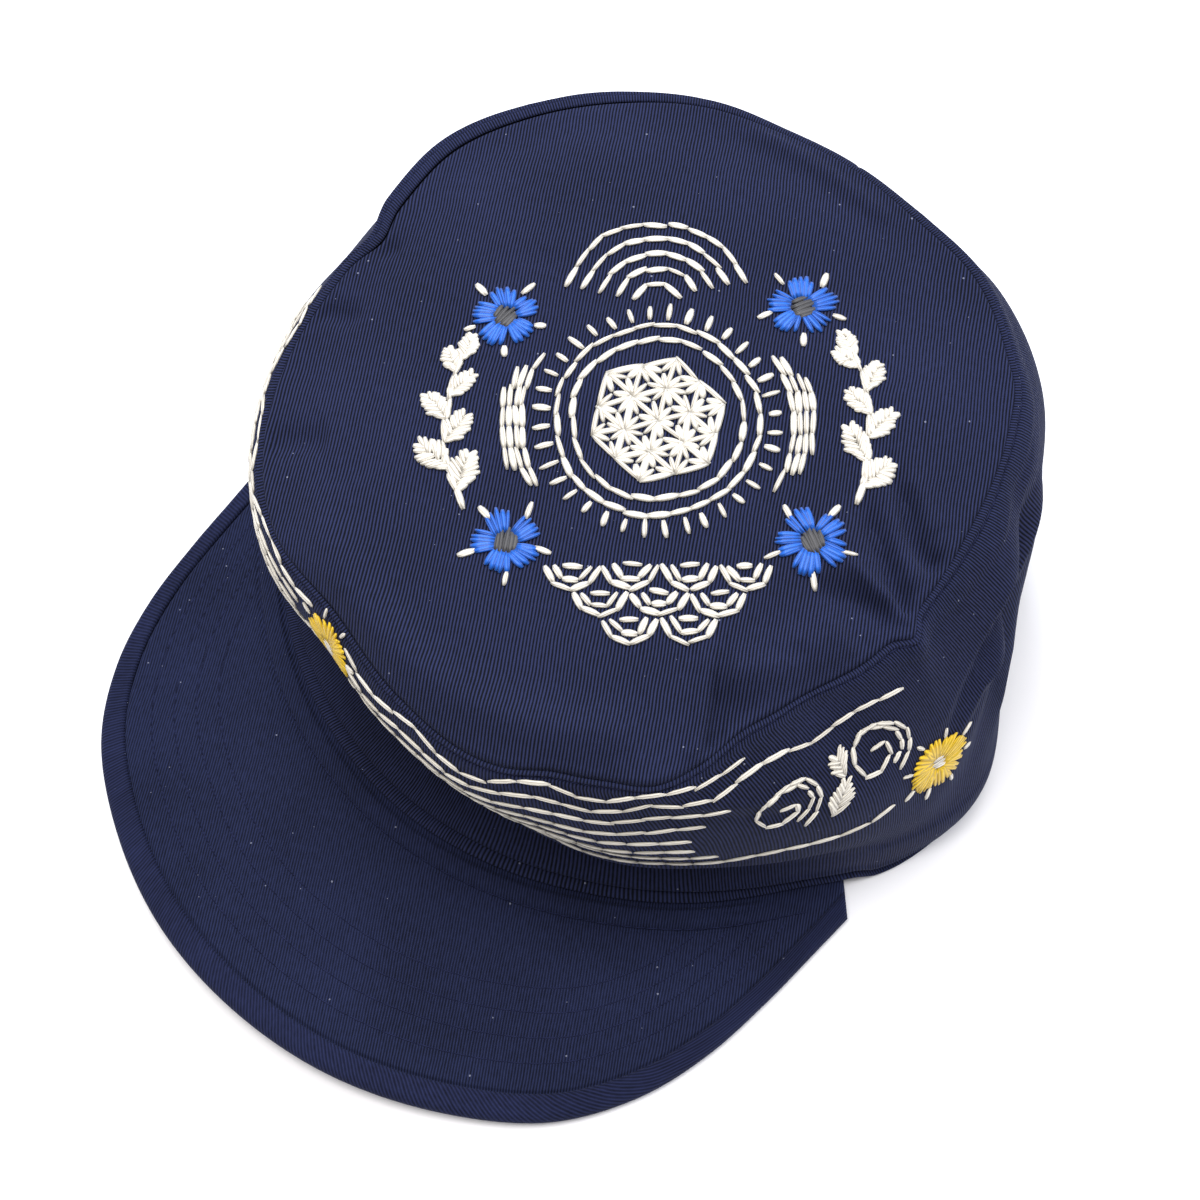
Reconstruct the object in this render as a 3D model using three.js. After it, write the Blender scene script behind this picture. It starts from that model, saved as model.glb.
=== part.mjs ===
// A flat-topped army cap of cotton drill, lying on its hem.
// Millimetres, +Z up. The peak points to -Y and the wearer's left is +X.
// Each row of a table is one section, at a turn in degrees from the front towards the wearer's left.

import * as THREE from 'three';
import { ParametricGeometry } from 'three/addons/geometries/ParametricGeometry.js';
import { mergeVertices } from 'three/addons/utils/BufferGeometryUtils.js';

// Where the crown's upright axis stands, so that the cap is centred on the origin.
const CROWN_AXIS = { x: -0.52, y: 27.58 };

// Cloth and sewing
const SHELL_THICKNESS = 1.8;
const HEM_THICKNESS = 3.0;
const HEM_DEPTH = 16;
const HEM_STEP = 3;
const SEAM_RIDGE_HEIGHT = 0.5;
const SEAM_RIDGE_DEPTH = 4;
const SEAM_RIDGE_STEP = 1;
const SEWN_GAP = 0.3;

// Crown: the top panel leans down towards the front, because the front of the band is tucked
const TOP_HEIGHT = 78;
const TOP_TILT = 6.5;
const TOP_TILT_TURN = 20;
const TOP_DOME = 3.2;
const TOP_EDGE_FLARE = 0.4;
const TOP_GROOVE_DEPTH = 1.1;
const TOP_GROOVE_WIDTH = 6;
const TUCK_ABOVE_HEM = 14.5;
const BELLY_HEIGHT = 45;
const SHOULDER_BELOW_SEAM = 9;
const CORNER_AT_SHOULDER = 0.7;
const HEM_FALL_TURN = 4;
const FLAT_EDGE_SHARE = 0.06;
const UNFOLDED_SHARE = 0.1;
const UNFOLDED_TOP_EDGE = 5;

// How far each part of the band's outer face lies from the axis, from the hem up to the top seam
const BAND_SECTIONS = [
  { turn: 0, hem: 86.3, tuck: 71.5, belly: 79.5, shoulder: 84.5, seam: 81.6 },
  { turn: 15, hem: 85.8, tuck: 75.5, belly: 84.0, shoulder: 87.0, seam: 84.4 },
  { turn: 30, hem: 85.2, tuck: 79.0, belly: 86.5, shoulder: 85.5, seam: 82.0 },
  { turn: 45, hem: 86.0, tuck: 81.5, belly: 87.5, shoulder: 83.5, seam: 78.5 },
  { turn: 60, hem: 87.6, tuck: 86.0, belly: 87.5, shoulder: 78.0, seam: 71.3 },
  { turn: 75, hem: 93.2, tuck: 92.0, belly: 88.5, shoulder: 77.5, seam: 70.8 },
  { turn: 90, hem: 93.6, tuck: 92.5, belly: 86.0, shoulder: 76.0, seam: 69.1 },
  { turn: 105, hem: 89.0, tuck: 87.0, belly: 82.5, shoulder: 76.0, seam: 69.1 },
  { turn: 120, hem: 88.0, tuck: 87.0, belly: 84.0, shoulder: 78.5, seam: 71.5 },
  { turn: 135, hem: 88.0, tuck: 88.0, belly: 86.0, shoulder: 80.0, seam: 72.3 },
  { turn: 150, hem: 87.5, tuck: 87.5, belly: 85.5, shoulder: 79.0, seam: 71.5 },
  { turn: 165, hem: 86.0, tuck: 86.0, belly: 82.5, shoulder: 74.0, seam: 68.0 },
  { turn: 180, hem: 86.0, tuck: 86.0, belly: 82.5, shoulder: 73.0, seam: 67.6 },
  { turn: 195, hem: 86.0, tuck: 86.0, belly: 82.5, shoulder: 74.0, seam: 67.6 },
  { turn: 210, hem: 87.0, tuck: 87.0, belly: 84.5, shoulder: 76.5, seam: 69.5 },
  { turn: 225, hem: 88.0, tuck: 88.0, belly: 85.0, shoulder: 76.5, seam: 70.0 },
  { turn: 240, hem: 89.0, tuck: 89.0, belly: 85.5, shoulder: 76.5, seam: 71.1 },
  { turn: 255, hem: 91.5, tuck: 91.0, belly: 87.0, shoulder: 78.5, seam: 72.1 },
  { turn: 270, hem: 94.5, tuck: 94.0, belly: 87.5, shoulder: 76.5, seam: 69.7 },
  { turn: 285, hem: 93.2, tuck: 92.0, belly: 87.0, shoulder: 78.0, seam: 71.6 },
  { turn: 300, hem: 88.0, tuck: 86.0, belly: 86.0, shoulder: 81.5, seam: 76.3 },
  { turn: 315, hem: 86.2, tuck: 80.0, belly: 84.5, shoulder: 84.0, seam: 80.7 },
  { turn: 330, hem: 85.8, tuck: 75.5, belly: 82.5, shoulder: 84.8, seam: 82.4 },
  { turn: 345, hem: 86.0, tuck: 71.5, belly: 79.0, shoulder: 82.0, seam: 79.0 },
];

// Corners of the top seam, where a fold pulls it out or in
const SEAM_CORNERS = [
  { turn: 24, reach: 4, out: -1.2 },
  { turn: 38, reach: 5, out: 2.1 },
  { turn: 51, reach: 5, out: -1.9 },
  { turn: 81.5, reach: 3, out: 2.6 },
  { turn: 129, reach: 5, out: 1.0 },
  { turn: 276.5, reach: 4.5, out: -2.2 },
];

// Folds in the band: where each is, how far it reaches round and up, and how far it stands out.
// lean is how far it turns for each millimetre that it rises.
const BAND_FOLDS = [
  { turn: 86, reach: 12, height: 13, tall: 13, lean: 0, out: 2.6 },
  { turn: 95, reach: 5, height: 56, tall: 22, lean: 0.55, out: 2.6 },
  { turn: 104, reach: 4, height: 56, tall: 22, lean: 0.55, out: -2.4 },
  { turn: 112, reach: 5, height: 54, tall: 20, lean: 0.5, out: 1.8 },
  { turn: 68, reach: 6, height: 62, tall: 14, lean: -0.5, out: -2.2 },
  { turn: 148, reach: 6, height: 40, tall: 24, lean: 0.2, out: -2.0 },
  { turn: 205, reach: 7, height: 46, tall: 22, lean: -0.2, out: 2.2 },
  { turn: 232, reach: 6, height: 60, tall: 18, lean: 0.3, out: -2.4 },
  { turn: 262, reach: 7, height: 30, tall: 20, lean: -0.3, out: -2.6 },
  { turn: 284, reach: 7, height: 44, tall: 22, lean: 0.2, out: 2.0 },
];

// Folds in the top panel: the middle of each from the axis, the way that it runs, and its size
const TOP_FOLDS = [
  { x: 62, y: -10, run: 174, long: 13, wide: 3.6, rise: -1.9 },
  { x: 55, y: -27, run: 262, long: 17, wide: 7, rise: 1.5 },
  { x: 49, y: -52, run: 304, long: 15, wide: 3.8, rise: -1.6 },
  { x: 34, y: -58, run: 300, long: 14, wide: 6, rise: 1.1 },
  { x: -20, y: -44, run: 20, long: 34, wide: 12, rise: -1.0 },
  { x: -44, y: 30, run: 118, long: 26, wide: 9, rise: 1.2 },
  { x: 18, y: 38, run: 30, long: 30, wide: 12, rise: -1.2 },
];

// Peak: a flat stiff board between two layers of cloth, bent into a low arch
const PEAK_THICKNESS = 2.4;
const PEAK_RIM_THICKNESS = 1.4;
const PEAK_RISE = 7;
const PEAK_HALF_WIDTH = 92;
const PEAK_FRONT_FALL = 0.6;
const PEAK_ROOT_TURN = 68;
const PEAK_SKEW = -0.7;
const PEAK_OUTLINE = [
  { turn: 0, out: 141.3 },
  { turn: 10, out: 140.6 },
  { turn: 20, out: 138.0 },
  { turn: 30, out: 134.0 },
  { turn: 38, out: 127.0 },
  { turn: 45, out: 118.6 },
  { turn: 52.5, out: 109.2 },
  { turn: 59, out: 102.6 },
  { turn: 65, out: 98.2 },
];

// Binding: a bias strip folded over the rim of the peak
const BINDING_WIDTH = 6;
const BINDING_CLOTH = 0.7;
const BINDING_THICKNESS = PEAK_RIM_THICKNESS + 2 * (SEWN_GAP + BINDING_CLOTH);
const BINDING_EDGE = 1;
const RIM_STEP = 0.4;

// Section of the binding's upper half: its outer face and, across the cloth, its inner one.
// Insets are from the peak's edge. The heights are shares of half of each face's thickness.
const BINDING_SECTION = [
  { outerInset: BINDING_WIDTH, outerUp: 1, innerInset: BINDING_WIDTH, innerUp: 1 },
  { outerInset: 1.6, outerUp: 1, innerInset: BINDING_EDGE + 0.5, innerUp: 1 },
  { outerInset: 0, outerUp: 0.45, innerInset: BINDING_EDGE, innerUp: 0.6 },
];

// Faces round and along each piece
const CROWN_SECTORS = 90;
const BAND_OUTER_STEPS = [0, 0.05, 0.1, 0.15, 0.21, 0.27, 0.34, 0.42, 0.5, 0.58, 0.66, 0.74, 0.82, 0.89, 0.95, 1];
const BAND_INNER_STEPS = [0, 0.05, 0.12, 0.2, 0.26, 0.34, 0.5, 0.66, 0.8, 0.92, 1];
const TOP_STEPS = [0, 0.16, 0.32, 0.47, 0.6, 0.72, 0.82, 0.9, 0.96, 1];
const TOP_UNDERSIDE_STEPS = [0, 0.4, 0.72, 0.92, 1];
const PEAK_STATIONS = 50;
const PEAK_STEPS = [0, 0.2, 0.4, 0.6, 0.8, 1];
const END_TAPER = 1.2;
const END_STATION = 0.004;

const CLOTH_COLOUR = 0x23263f;
const PEAK_COLOUR = 0x20223a;
const BINDING_COLOUR = 0x1e2038;

const radians = THREE.MathUtils.degToRad;
const smoothstep = THREE.MathUtils.smoothstep;
const bell = (distance, width) => Math.exp(-((distance / width) ** 2));

/** A point at a turn round the crown's axis. */
function polar(turn, out, height) {
  const angle = radians(turn);
  return new THREE.Vector3(out * Math.sin(angle), -out * Math.cos(angle), height);
}

/** The shorter way round from one turn to another, in degrees. */
function turnBetween(from, to) {
  return THREE.MathUtils.euclideanModulo(to - from + 180, 360) - 180;
}

/** One column of the evenly spaced band sections, smoothly between its rows. */
function bandColumn(column, turn) {
  const count = BAND_SECTIONS.length;
  const place = (THREE.MathUtils.euclideanModulo(turn, 360) / 360) * count;
  const row = Math.floor(place);
  const value = (offset) => BAND_SECTIONS[(row + offset + count) % count][column];
  const curve = new THREE.SplineCurve([-1, 0, 1, 2].map((offset) => new THREE.Vector2(offset, value(offset))));
  return curve.getPoint((1 + place - row) / 3).y;
}

/** How far a corner of the top seam stands out. */
function seamCorner(turn) {
  return SEAM_CORNERS.reduce((sum, corner) => sum + corner.out * bell(turnBetween(corner.turn, turn), corner.reach), 0);
}

/** Height of the top seam. */
function seamHeight(turn) {
  return TOP_HEIGHT - TOP_TILT * Math.cos(radians(turn - TOP_TILT_TURN));
}

/** Height of the middle of the peak's thickness, from the root, 0, to the outer edge, 1. */
function peakMiddle(x, along) {
  const arch = Math.cos((Math.PI / 2) * Math.min(1, Math.abs(x) / PEAK_HALF_WIDTH)) ** 2;
  return BINDING_THICKNESS / 2 + PEAK_RISE * arch * (1 - PEAK_FRONT_FALL * along);
}

/** Height of the band's lower edge, which stands on the peak in front and on the ground behind. */
function hemHeight(turn) {
  const fromFront = Math.abs(turnBetween(0, turn));
  const x = polar(turn, bandColumn('hem', turn), 0).x;
  const onPeak = peakMiddle(x, 0) + PEAK_THICKNESS / 2 + SEWN_GAP;
  return onPeak * (1 - smoothstep(fromFront, PEAK_ROOT_TURN, PEAK_ROOT_TURN + HEM_FALL_TURN));
}

/** How far the folds push the band out. */
function bandFold(turn, height) {
  return BAND_FOLDS.reduce((sum, fold) => {
    const middle = fold.turn + fold.lean * (height - fold.height);
    return sum + fold.out * bell(turnBetween(middle, turn), fold.reach) * bell(height - fold.height, fold.tall);
  }, 0);
}

/** The band's section at a turn, as a curve of distance (x) and height (y). */
function bandProfile(turn) {
  const hem = hemHeight(turn);
  const seam = seamHeight(turn);
  const corner = seamCorner(turn);
  const knots = [
    new THREE.Vector3(bandColumn('hem', turn), hem, 0),
    new THREE.Vector3(bandColumn('tuck', turn), hem + TUCK_ABOVE_HEM, 0),
    new THREE.Vector3(bandColumn('belly', turn), BELLY_HEIGHT, 0),
    new THREE.Vector3(bandColumn('shoulder', turn) + CORNER_AT_SHOULDER * corner, seam - SHOULDER_BELOW_SEAM, 0),
    new THREE.Vector3(bandColumn('seam', turn) + corner, seam, 0),
  ];
  return new THREE.CatmullRomCurve3(knots, false, 'centripetal');
}

/** A point of the band's outer face (depth 0) or inner face (depth 1), from the hem, 0, to the seam, 1. */
function bandPoint(turn, rise, depth) {
  const curve = bandProfile(turn);
  const length = curve.getLength();
  const middle = curve.getPointAt(rise);
  const tangent = curve.getTangentAt(rise);
  const fromHem = rise * length;
  const fromSeam = length - fromHem;
  const aboveEdge = smoothstep(rise, 0, FLAT_EDGE_SHARE);
  const away = new THREE.Vector2(tangent.y, -tangent.x * aboveEdge).normalize();
  const foldable = smoothstep(rise, 0, UNFOLDED_SHARE) * smoothstep(1 - rise, 0, UNFOLDED_SHARE);
  const ridge = SEAM_RIDGE_HEIGHT * (1 - smoothstep(fromSeam, SEAM_RIDGE_DEPTH, SEAM_RIDGE_DEPTH + SEAM_RIDGE_STEP));
  const hemPart = 1 - smoothstep(fromHem, HEM_DEPTH, HEM_DEPTH + HEM_STEP);
  const thickness = THREE.MathUtils.lerp(SHELL_THICKNESS, HEM_THICKNESS, hemPart);
  const offset = depth === 0 ? ridge * foldable : -thickness;
  const out = middle.x + foldable * bandFold(turn, middle.y) + offset * away.x;
  return polar(turn, out, middle.y + offset * away.y);
}

/** How far the folds lift the top panel. */
function topFold(x, y) {
  return TOP_FOLDS.reduce((sum, fold) => {
    const angle = radians(fold.run);
    const along = (x - fold.x) * Math.cos(angle) + (y - fold.y) * Math.sin(angle);
    const across = (y - fold.y) * Math.cos(angle) - (x - fold.x) * Math.sin(angle);
    return sum + fold.rise * bell(along, fold.long) * bell(across, fold.wide);
  }, 0);
}

/** A point of the top panel's upper face (depth 0) or underside (depth 1), from its middle, 0, to its edge, 1. */
function topPoint(turn, reach, depth) {
  const wall = bandPoint(turn, 1, 1);
  const edge = Math.hypot(wall.x, wall.y) - SEWN_GAP;
  const point = polar(turn, (edge + depth * TOP_EDGE_FLARE) * reach, 0);
  const fromEdge = edge * (1 - reach);
  const dome = TOP_DOME * (1 - reach ** 2);
  const groove = TOP_GROOVE_DEPTH * bell(fromEdge - TOP_GROOVE_WIDTH, TOP_GROOVE_WIDTH);
  const folds = topFold(point.x, point.y) * smoothstep(fromEdge, 0, UNFOLDED_TOP_EDGE);
  point.z = THREE.MathUtils.lerp(TOP_HEIGHT, wall.z, reach) + dome - groove + folds - depth * SHELL_THICKNESS;
  return point;
}

/** A closed solid from a geometry whose seams and poles meet: doubled corners are merged, empty faces dropped. */
function closeUp(geometry) {
  geometry.deleteAttribute('normal');
  geometry.deleteAttribute('uv');
  const merged = mergeVertices(geometry, 1e-4);
  const corners = merged.getAttribute('position');
  const faces = [];
  let volume = 0;
  const [a, b, c] = [new THREE.Vector3(), new THREE.Vector3(), new THREE.Vector3()];
  for (let i = 0; i < merged.index.count; i += 3) {
    const face = [0, 1, 2].map((k) => merged.index.getX(i + k));
    if (new Set(face).size === 3) {
      faces.push(face);
      a.fromBufferAttribute(corners, face[0]);
      b.fromBufferAttribute(corners, face[1]);
      c.fromBufferAttribute(corners, face[2]);
      volume += a.dot(b.cross(c));
    }
  }
  merged.setIndex((volume < 0 ? faces.map((face) => face.toReversed()) : faces).flat());
  merged.computeVertexNormals();
  return merged;
}

/** A solid whose sections are closed loops. pointAt takes a share of the way along and a row of the loop. */
function loftLoops(pointAt, loop, stations) {
  const surface = (u, v, target) => {
    const row = loop[Math.round(v * loop.length) % loop.length];
    target.copy(pointAt(u, row));
  };
  return closeUp(new ParametricGeometry(surface, stations, loop.length));
}

/** Ring wall: up the outer face and down the inner one. */
function buildBand() {
  const outer = BAND_OUTER_STEPS.map((rise) => ({ rise, depth: 0 }));
  const inner = BAND_INNER_STEPS.toReversed().map((rise) => ({ rise, depth: 1 }));
  return loftLoops((u, row) => bandPoint(360 * (u % 1), row.rise, row.depth), [...outer, ...inner], CROWN_SECTORS);
}

/** Disc: from the middle of its upper face over the edge to the middle of its underside. */
function buildTop() {
  const upper = TOP_STEPS.map((reach) => ({ reach, depth: 0 }));
  const under = TOP_UNDERSIDE_STEPS.toReversed().map((reach) => ({ reach, depth: 1 }));
  const rows = [...upper, ...under];
  const surface = (u, v, target) => {
    const row = rows[Math.round(v * (rows.length - 1))];
    target.copy(topPoint(360 * (u % 1), row.reach, row.depth));
  };
  return closeUp(new ParametricGeometry(surface, CROWN_SECTORS, rows.length - 1));
}

/** The peak's outer edge in plan, as a curve from the wearer's right end to the left one. */
const peakEdge = new THREE.CatmullRomCurve3([
  ...PEAK_OUTLINE.slice(1).toReversed().map((row) => peakEdgeKnot(-row.turn, row.out)),
  ...PEAK_OUTLINE.map((row) => peakEdgeKnot(row.turn, row.out)),
]);

/** A knot of the peak's edge, which lies skewed a little towards the wearer's right in the middle. */
function peakEdgeKnot(turn, out) {
  const skew = PEAK_SKEW * (1 - (turn / PEAK_OUTLINE.at(-1).turn) ** 2);
  return polar(turn + skew, out, 0);
}

/** The plan point of the peak's root, under the band's inner face, across from a place on its edge. */
function peakRoot(u) {
  const turn = PEAK_ROOT_TURN * (2 * u - 1);
  return polar(turn, bandColumn('hem', turn) - HEM_THICKNESS, 0);
}

/** A point over the peak's plan, at an inset from its outer edge towards its root under the band. */
function peakPoint(u, inset, offset) {
  const edge = peakEdge.getPointAt(u);
  const root = peakRoot(u);
  const along = inset / edge.distanceTo(root);
  const point = edge.lerp(root, along);
  point.z = peakMiddle(point.x, 1 - along) + offset;
  return point;
}

/** How thick the peak or its binding is near an end, where the cloth is folded round. */
function endTaper(u) {
  const fromEnd = Math.min(u, 1 - u) * peakEdge.getLength();
  return Math.sqrt(1 - (1 - Math.min(1, fromEnd / END_TAPER)) ** 2);
}

/** Even stations with one more close to each end, where the taper is. */
function peakStation(u) {
  const evenly = THREE.MathUtils.mapLinear(u, 1 / PEAK_STATIONS, 1 - 1 / PEAK_STATIONS, END_STATION, 1 - END_STATION);
  return THREE.MathUtils.clamp(evenly, 0, 1);
}

/** Stiff board with a thinner rim, which the binding takes in. */
function buildPeak() {
  const rimInset = BINDING_EDGE + SEWN_GAP;
  const rimEnd = BINDING_WIDTH + SEWN_GAP;
  const side = [
    { inset: () => rimInset, half: PEAK_RIM_THICKNESS / 2 },
    { inset: () => rimEnd, half: PEAK_RIM_THICKNESS / 2 },
    ...PEAK_STEPS.map((step) => ({
      inset: (length) => THREE.MathUtils.lerp(rimEnd + RIM_STEP, length, step),
      half: PEAK_THICKNESS / 2,
    })),
  ];
  const loop = [
    ...side.map((row) => ({ ...row, up: 1 })),
    ...side.toReversed().map((row) => ({ ...row, up: -1 })),
  ];
  const pointAt = (station, row) => {
    const u = peakStation(station);
    const length = peakEdge.getPointAt(u).distanceTo(peakRoot(u));
    return peakPoint(u, row.inset(length), row.up * row.half * endTaper(u));
  };
  return loftLoops(pointAt, loop, PEAK_STATIONS);
}

/** Folded strip: round its outer face, and back along the inner one. */
function buildBinding() {
  const outerHalf = BINDING_THICKNESS / 2;
  const innerHalf = outerHalf - BINDING_CLOTH;
  const corners = (up) => BINDING_SECTION.map((row) => ({
    outer: { inset: row.outerInset, height: up * outerHalf * row.outerUp },
    inner: { inset: row.innerInset, height: up * innerHalf * row.innerUp },
  }));
  const section = [...corners(1), ...corners(-1).toReversed()];
  const loop = [
    ...section.map((row) => ({ own: row.outer, across: row.inner })),
    ...section.toReversed().map((row) => ({ own: row.inner, across: row.outer })),
  ];
  const pointAt = (station, row) => {
    const u = peakStation(station);
    const share = 0.5 + endTaper(u) / 2;
    const inset = THREE.MathUtils.lerp(row.across.inset, row.own.inset, share);
    const height = THREE.MathUtils.lerp(row.across.height, row.own.height, share);
    return peakPoint(u, inset, height);
  };
  return loftLoops(pointAt, loop, PEAK_STATIONS);
}

/** A named piece of cloth, set on the crown's axis. */
function piece(name, geometry, colour) {
  const material = new THREE.MeshStandardMaterial({ color: colour, roughness: 0.9, metalness: 0 });
  const mesh = new THREE.Mesh(geometry, material);
  mesh.name = name;
  mesh.position.set(CROWN_AXIS.x, CROWN_AXIS.y, 0);
  return mesh;
}

const group = new THREE.Group();
group.add(
  piece('crown_top', buildTop(), CLOTH_COLOUR),
  piece('side_band', buildBand(), CLOTH_COLOUR),
  piece('peak', buildPeak(), PEAK_COLOUR),
  piece('peak_binding', buildBinding(), BINDING_COLOUR),
);

export default group;
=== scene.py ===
"""A navy army cap lying on its hem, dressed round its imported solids. Blender works in metres.

Shapes are worked out in millimetres from the crown's upright axis, and turned to metres as each mesh is
made. A turn is measured in degrees from the front of the cap towards the wearer's left.
"""

import bmesh
import bpy
import numpy as np
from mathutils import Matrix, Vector


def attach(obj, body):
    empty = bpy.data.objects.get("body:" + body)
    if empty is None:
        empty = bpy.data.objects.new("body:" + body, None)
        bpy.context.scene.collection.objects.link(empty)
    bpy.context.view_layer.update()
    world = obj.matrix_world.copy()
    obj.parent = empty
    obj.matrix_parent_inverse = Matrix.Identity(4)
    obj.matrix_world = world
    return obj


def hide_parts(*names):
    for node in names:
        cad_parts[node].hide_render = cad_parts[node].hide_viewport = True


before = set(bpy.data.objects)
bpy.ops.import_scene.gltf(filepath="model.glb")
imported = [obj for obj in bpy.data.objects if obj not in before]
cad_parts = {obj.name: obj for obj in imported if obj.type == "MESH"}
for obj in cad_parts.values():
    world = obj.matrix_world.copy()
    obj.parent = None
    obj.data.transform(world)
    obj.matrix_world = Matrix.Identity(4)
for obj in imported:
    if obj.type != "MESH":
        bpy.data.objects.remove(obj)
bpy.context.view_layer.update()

# Camera: held over the wearer's front left, looking steeply down at the top panel.
MM = 0.001
CROWN_AXIS = Vector((-0.52, 27.58, 0.0))
VIEW_AZIMUTH = 39
VIEW_ELEVATION = 65
VIEW_CENTRE = CROWN_AXIS + Vector((-2.5, -15.0, 0.0))
IMAGE_WIDTH = 1200
FOCAL_LENGTH_PIXELS = 1900
PIXELS_PER_MM = 4.2

camera = bpy.data.objects.new("camera", bpy.data.cameras.new("camera"))
bpy.context.collection.objects.link(camera)
bpy.context.scene.camera = camera
camera.data.lens = camera.data.sensor_width * FOCAL_LENGTH_PIXELS / IMAGE_WIDTH
azimuth, elevation = np.radians((VIEW_AZIMUTH, VIEW_ELEVATION))
towards_camera = Vector((
    np.sin(azimuth) * np.cos(elevation),
    -np.cos(azimuth) * np.cos(elevation),
    np.sin(elevation),
))
camera_distance = FOCAL_LENGTH_PIXELS / PIXELS_PER_MM
camera.location = (VIEW_CENTRE + towards_camera * camera_distance) * MM
camera.rotation_euler = towards_camera.to_track_quat("Z", "Y").to_euler()


# Side band of the crown.
# One strip of navy cotton drill goes round the head. Its lower edge is turned up and stitched as a
# hem, and its upper edge is sewn to the top panel, with the allowance turned down and topstitched.
BAND_THICKNESS = 1.8
HEM_THICKNESS = 3.0
HEM_DEPTH = 16
HEM_STITCH_HEIGHT = 2.7
SEAM_STITCH_DEPTH = 2.4
SEAM_SETBACK = 0.9
SEAM_ROLL = 1.0
BAND_COLUMNS = ("hem", "tuck", "belly", "shoulder", "seam")
BAND_SECTIONS = np.array([
    (86.3, 71.5, 79.5, 84.5, 81.6),
    (85.8, 75.5, 84.0, 87.0, 84.4),
    (85.2, 79.0, 86.5, 85.5, 82.0),
    (86.0, 81.5, 87.5, 83.5, 78.5),
    (87.6, 86.0, 87.5, 78.0, 70.8),
    (93.2, 92.0, 88.5, 77.5, 70.3),
    (93.6, 92.5, 86.0, 76.0, 69.1),
    (89.0, 87.0, 82.5, 76.0, 69.1),
    (88.0, 87.0, 84.0, 78.5, 71.5),
    (88.0, 88.0, 86.0, 80.0, 72.3),
    (87.5, 87.5, 85.5, 79.0, 71.5),
    (86.0, 86.0, 82.5, 74.0, 68.0),
    (86.0, 86.0, 82.5, 73.0, 67.6),
    (86.0, 86.0, 82.5, 74.0, 67.6),
    (87.0, 87.0, 84.5, 76.5, 69.5),
    (88.0, 88.0, 85.0, 76.5, 70.0),
    (89.0, 89.0, 85.5, 76.5, 71.1),
    (91.5, 91.0, 87.0, 78.5, 72.1),
    (94.5, 94.0, 87.5, 76.5, 69.7),
    (93.2, 92.0, 87.0, 78.0, 71.6),
    (88.0, 86.0, 86.0, 81.5, 76.3),
    (86.2, 80.0, 84.5, 84.0, 80.7),
    (85.8, 75.5, 82.5, 84.8, 82.4),
    (86.0, 71.5, 79.0, 82.0, 79.0),
])
TUCK_ABOVE_HEM = 14.5
BELLY_HEIGHT = 45
SHOULDER_BELOW_SEAM = 9
CORNER_AT_SHOULDER = 0.3
TOP_HEIGHT = 78
TOP_TILT = 6.5
TOP_TILT_TURN = 20
SEAM_CORNERS = (
    dict(turn=24, reach=4, out=-1.2),
    dict(turn=38, reach=5, out=2.1),
    dict(turn=51, reach=5, out=-1.9),
    dict(turn=82.3, reach=2.3, out=3.0),
    dict(turn=129, reach=5, out=1.0),
    dict(turn=276.5, reach=4.5, out=-2.2),
)
FOLD_COLUMNS = ("turn", "reach", "height", "tall", "lean", "out")
BAND_FOLDS = [dict(zip(FOLD_COLUMNS, row)) for row in (
    (86, 12, 13, 13, 0, 2.6),
    (95, 5, 56, 22, 0.55, 2.6),
    (104, 4, 56, 22, 0.55, -2.4),
    (112, 5, 54, 20, 0.5, 1.8),
    (68, 6, 62, 14, -0.5, -2.2),
    (148, 6, 40, 24, 0.2, -2.0),
    (205, 7, 46, 22, -0.2, 2.2),
    (232, 6, 60, 18, 0.3, -2.4),
    (262, 7, 30, 20, -0.3, -2.6),
    (284, 7, 44, 22, 0.2, 2.0),
    (20, 42, 29, 7, 0, 3.6),
    (22, 44, 18.5, 3.6, 0, -1.4),
)]
BAND_CREASES = (
    dict(above=7, under=5, turns=(38, 44, 51, 57, 66),
         below_seam=(5, 9, 16, 20, 22),
         outs=(0, 1.5, 1.5, 1.5, 0)),
    dict(above=16, under=5, turns=(80, 84, 89, 94, 100, 108, 115, 122, 130, 138),
         below_seam=(27, 24, 19, 15, 13, 12.8, 9.2, 7, 6, 6),
         outs=(0, 1.2, 2.4, 3.5, 3.5, 2.8, 1.8, 0.9, 0.3, 0)),
    dict(above=5, under=3, turns=(88, 93, 99, 106, 112, 118),
         below_seam=(26, 23, 21, 20, 18, 13),
         outs=(0, -1, -1.4, -1.4, -1, 0)),
    dict(above=6, under=4, turns=(82, 86, 90, 96, 103, 108, 114, 120),
         below_seam=(36, 32, 27, 27, 27, 25.5, 20, 17),
         outs=(0, 1.4, 2.0, 2.0, 2.0, 1.8, 1.4, 0)),
    dict(above=6, under=5, turns=(92, 97, 102, 108),
         below_seam=(58, 50, 44, 36),
         outs=(0, 1.4, 1.4, 0)),
)
PUFF_TURNS = (0, 60, 120, 150, 165, 180, 195, 210, 225, 240, 255, 270, 278, 286, 300, 320)
PUFF_OUTS = (0.2, 0.3, 0.3, 0.9, 1.3, 0.6, 0.8, 1.3, 2.6, 3.6, 3.5, 3.4, 2.4, 1.2, 0.8, 0.4)
HEM_EDGE_ROUND = 0.9
HEM_EASE_SHARE = 0.02
FACE_TURN_SHARE = 0.06
HELD_AT_HEM = 0.1
HELD_AT_SEAM = 0.07
BAND_UNEVEN_HEIGHT = 0.3
BAND_UNEVEN_SIZE = 34
PEAK_RIM_HEIGHT = 1.7
PEAK_THICKNESS = 2.4
PEAK_RISE = 7
PEAK_HALF_WIDTH = 92
PEAK_FRONT_FALL = 0.6
PEAK_ROOT_TURN = 68
SEWN_GAP = 0.3


def bell(distance, width):
    """1 at no distance, falling smoothly to nothing."""
    return np.exp(-((distance / width) ** 2))


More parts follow.
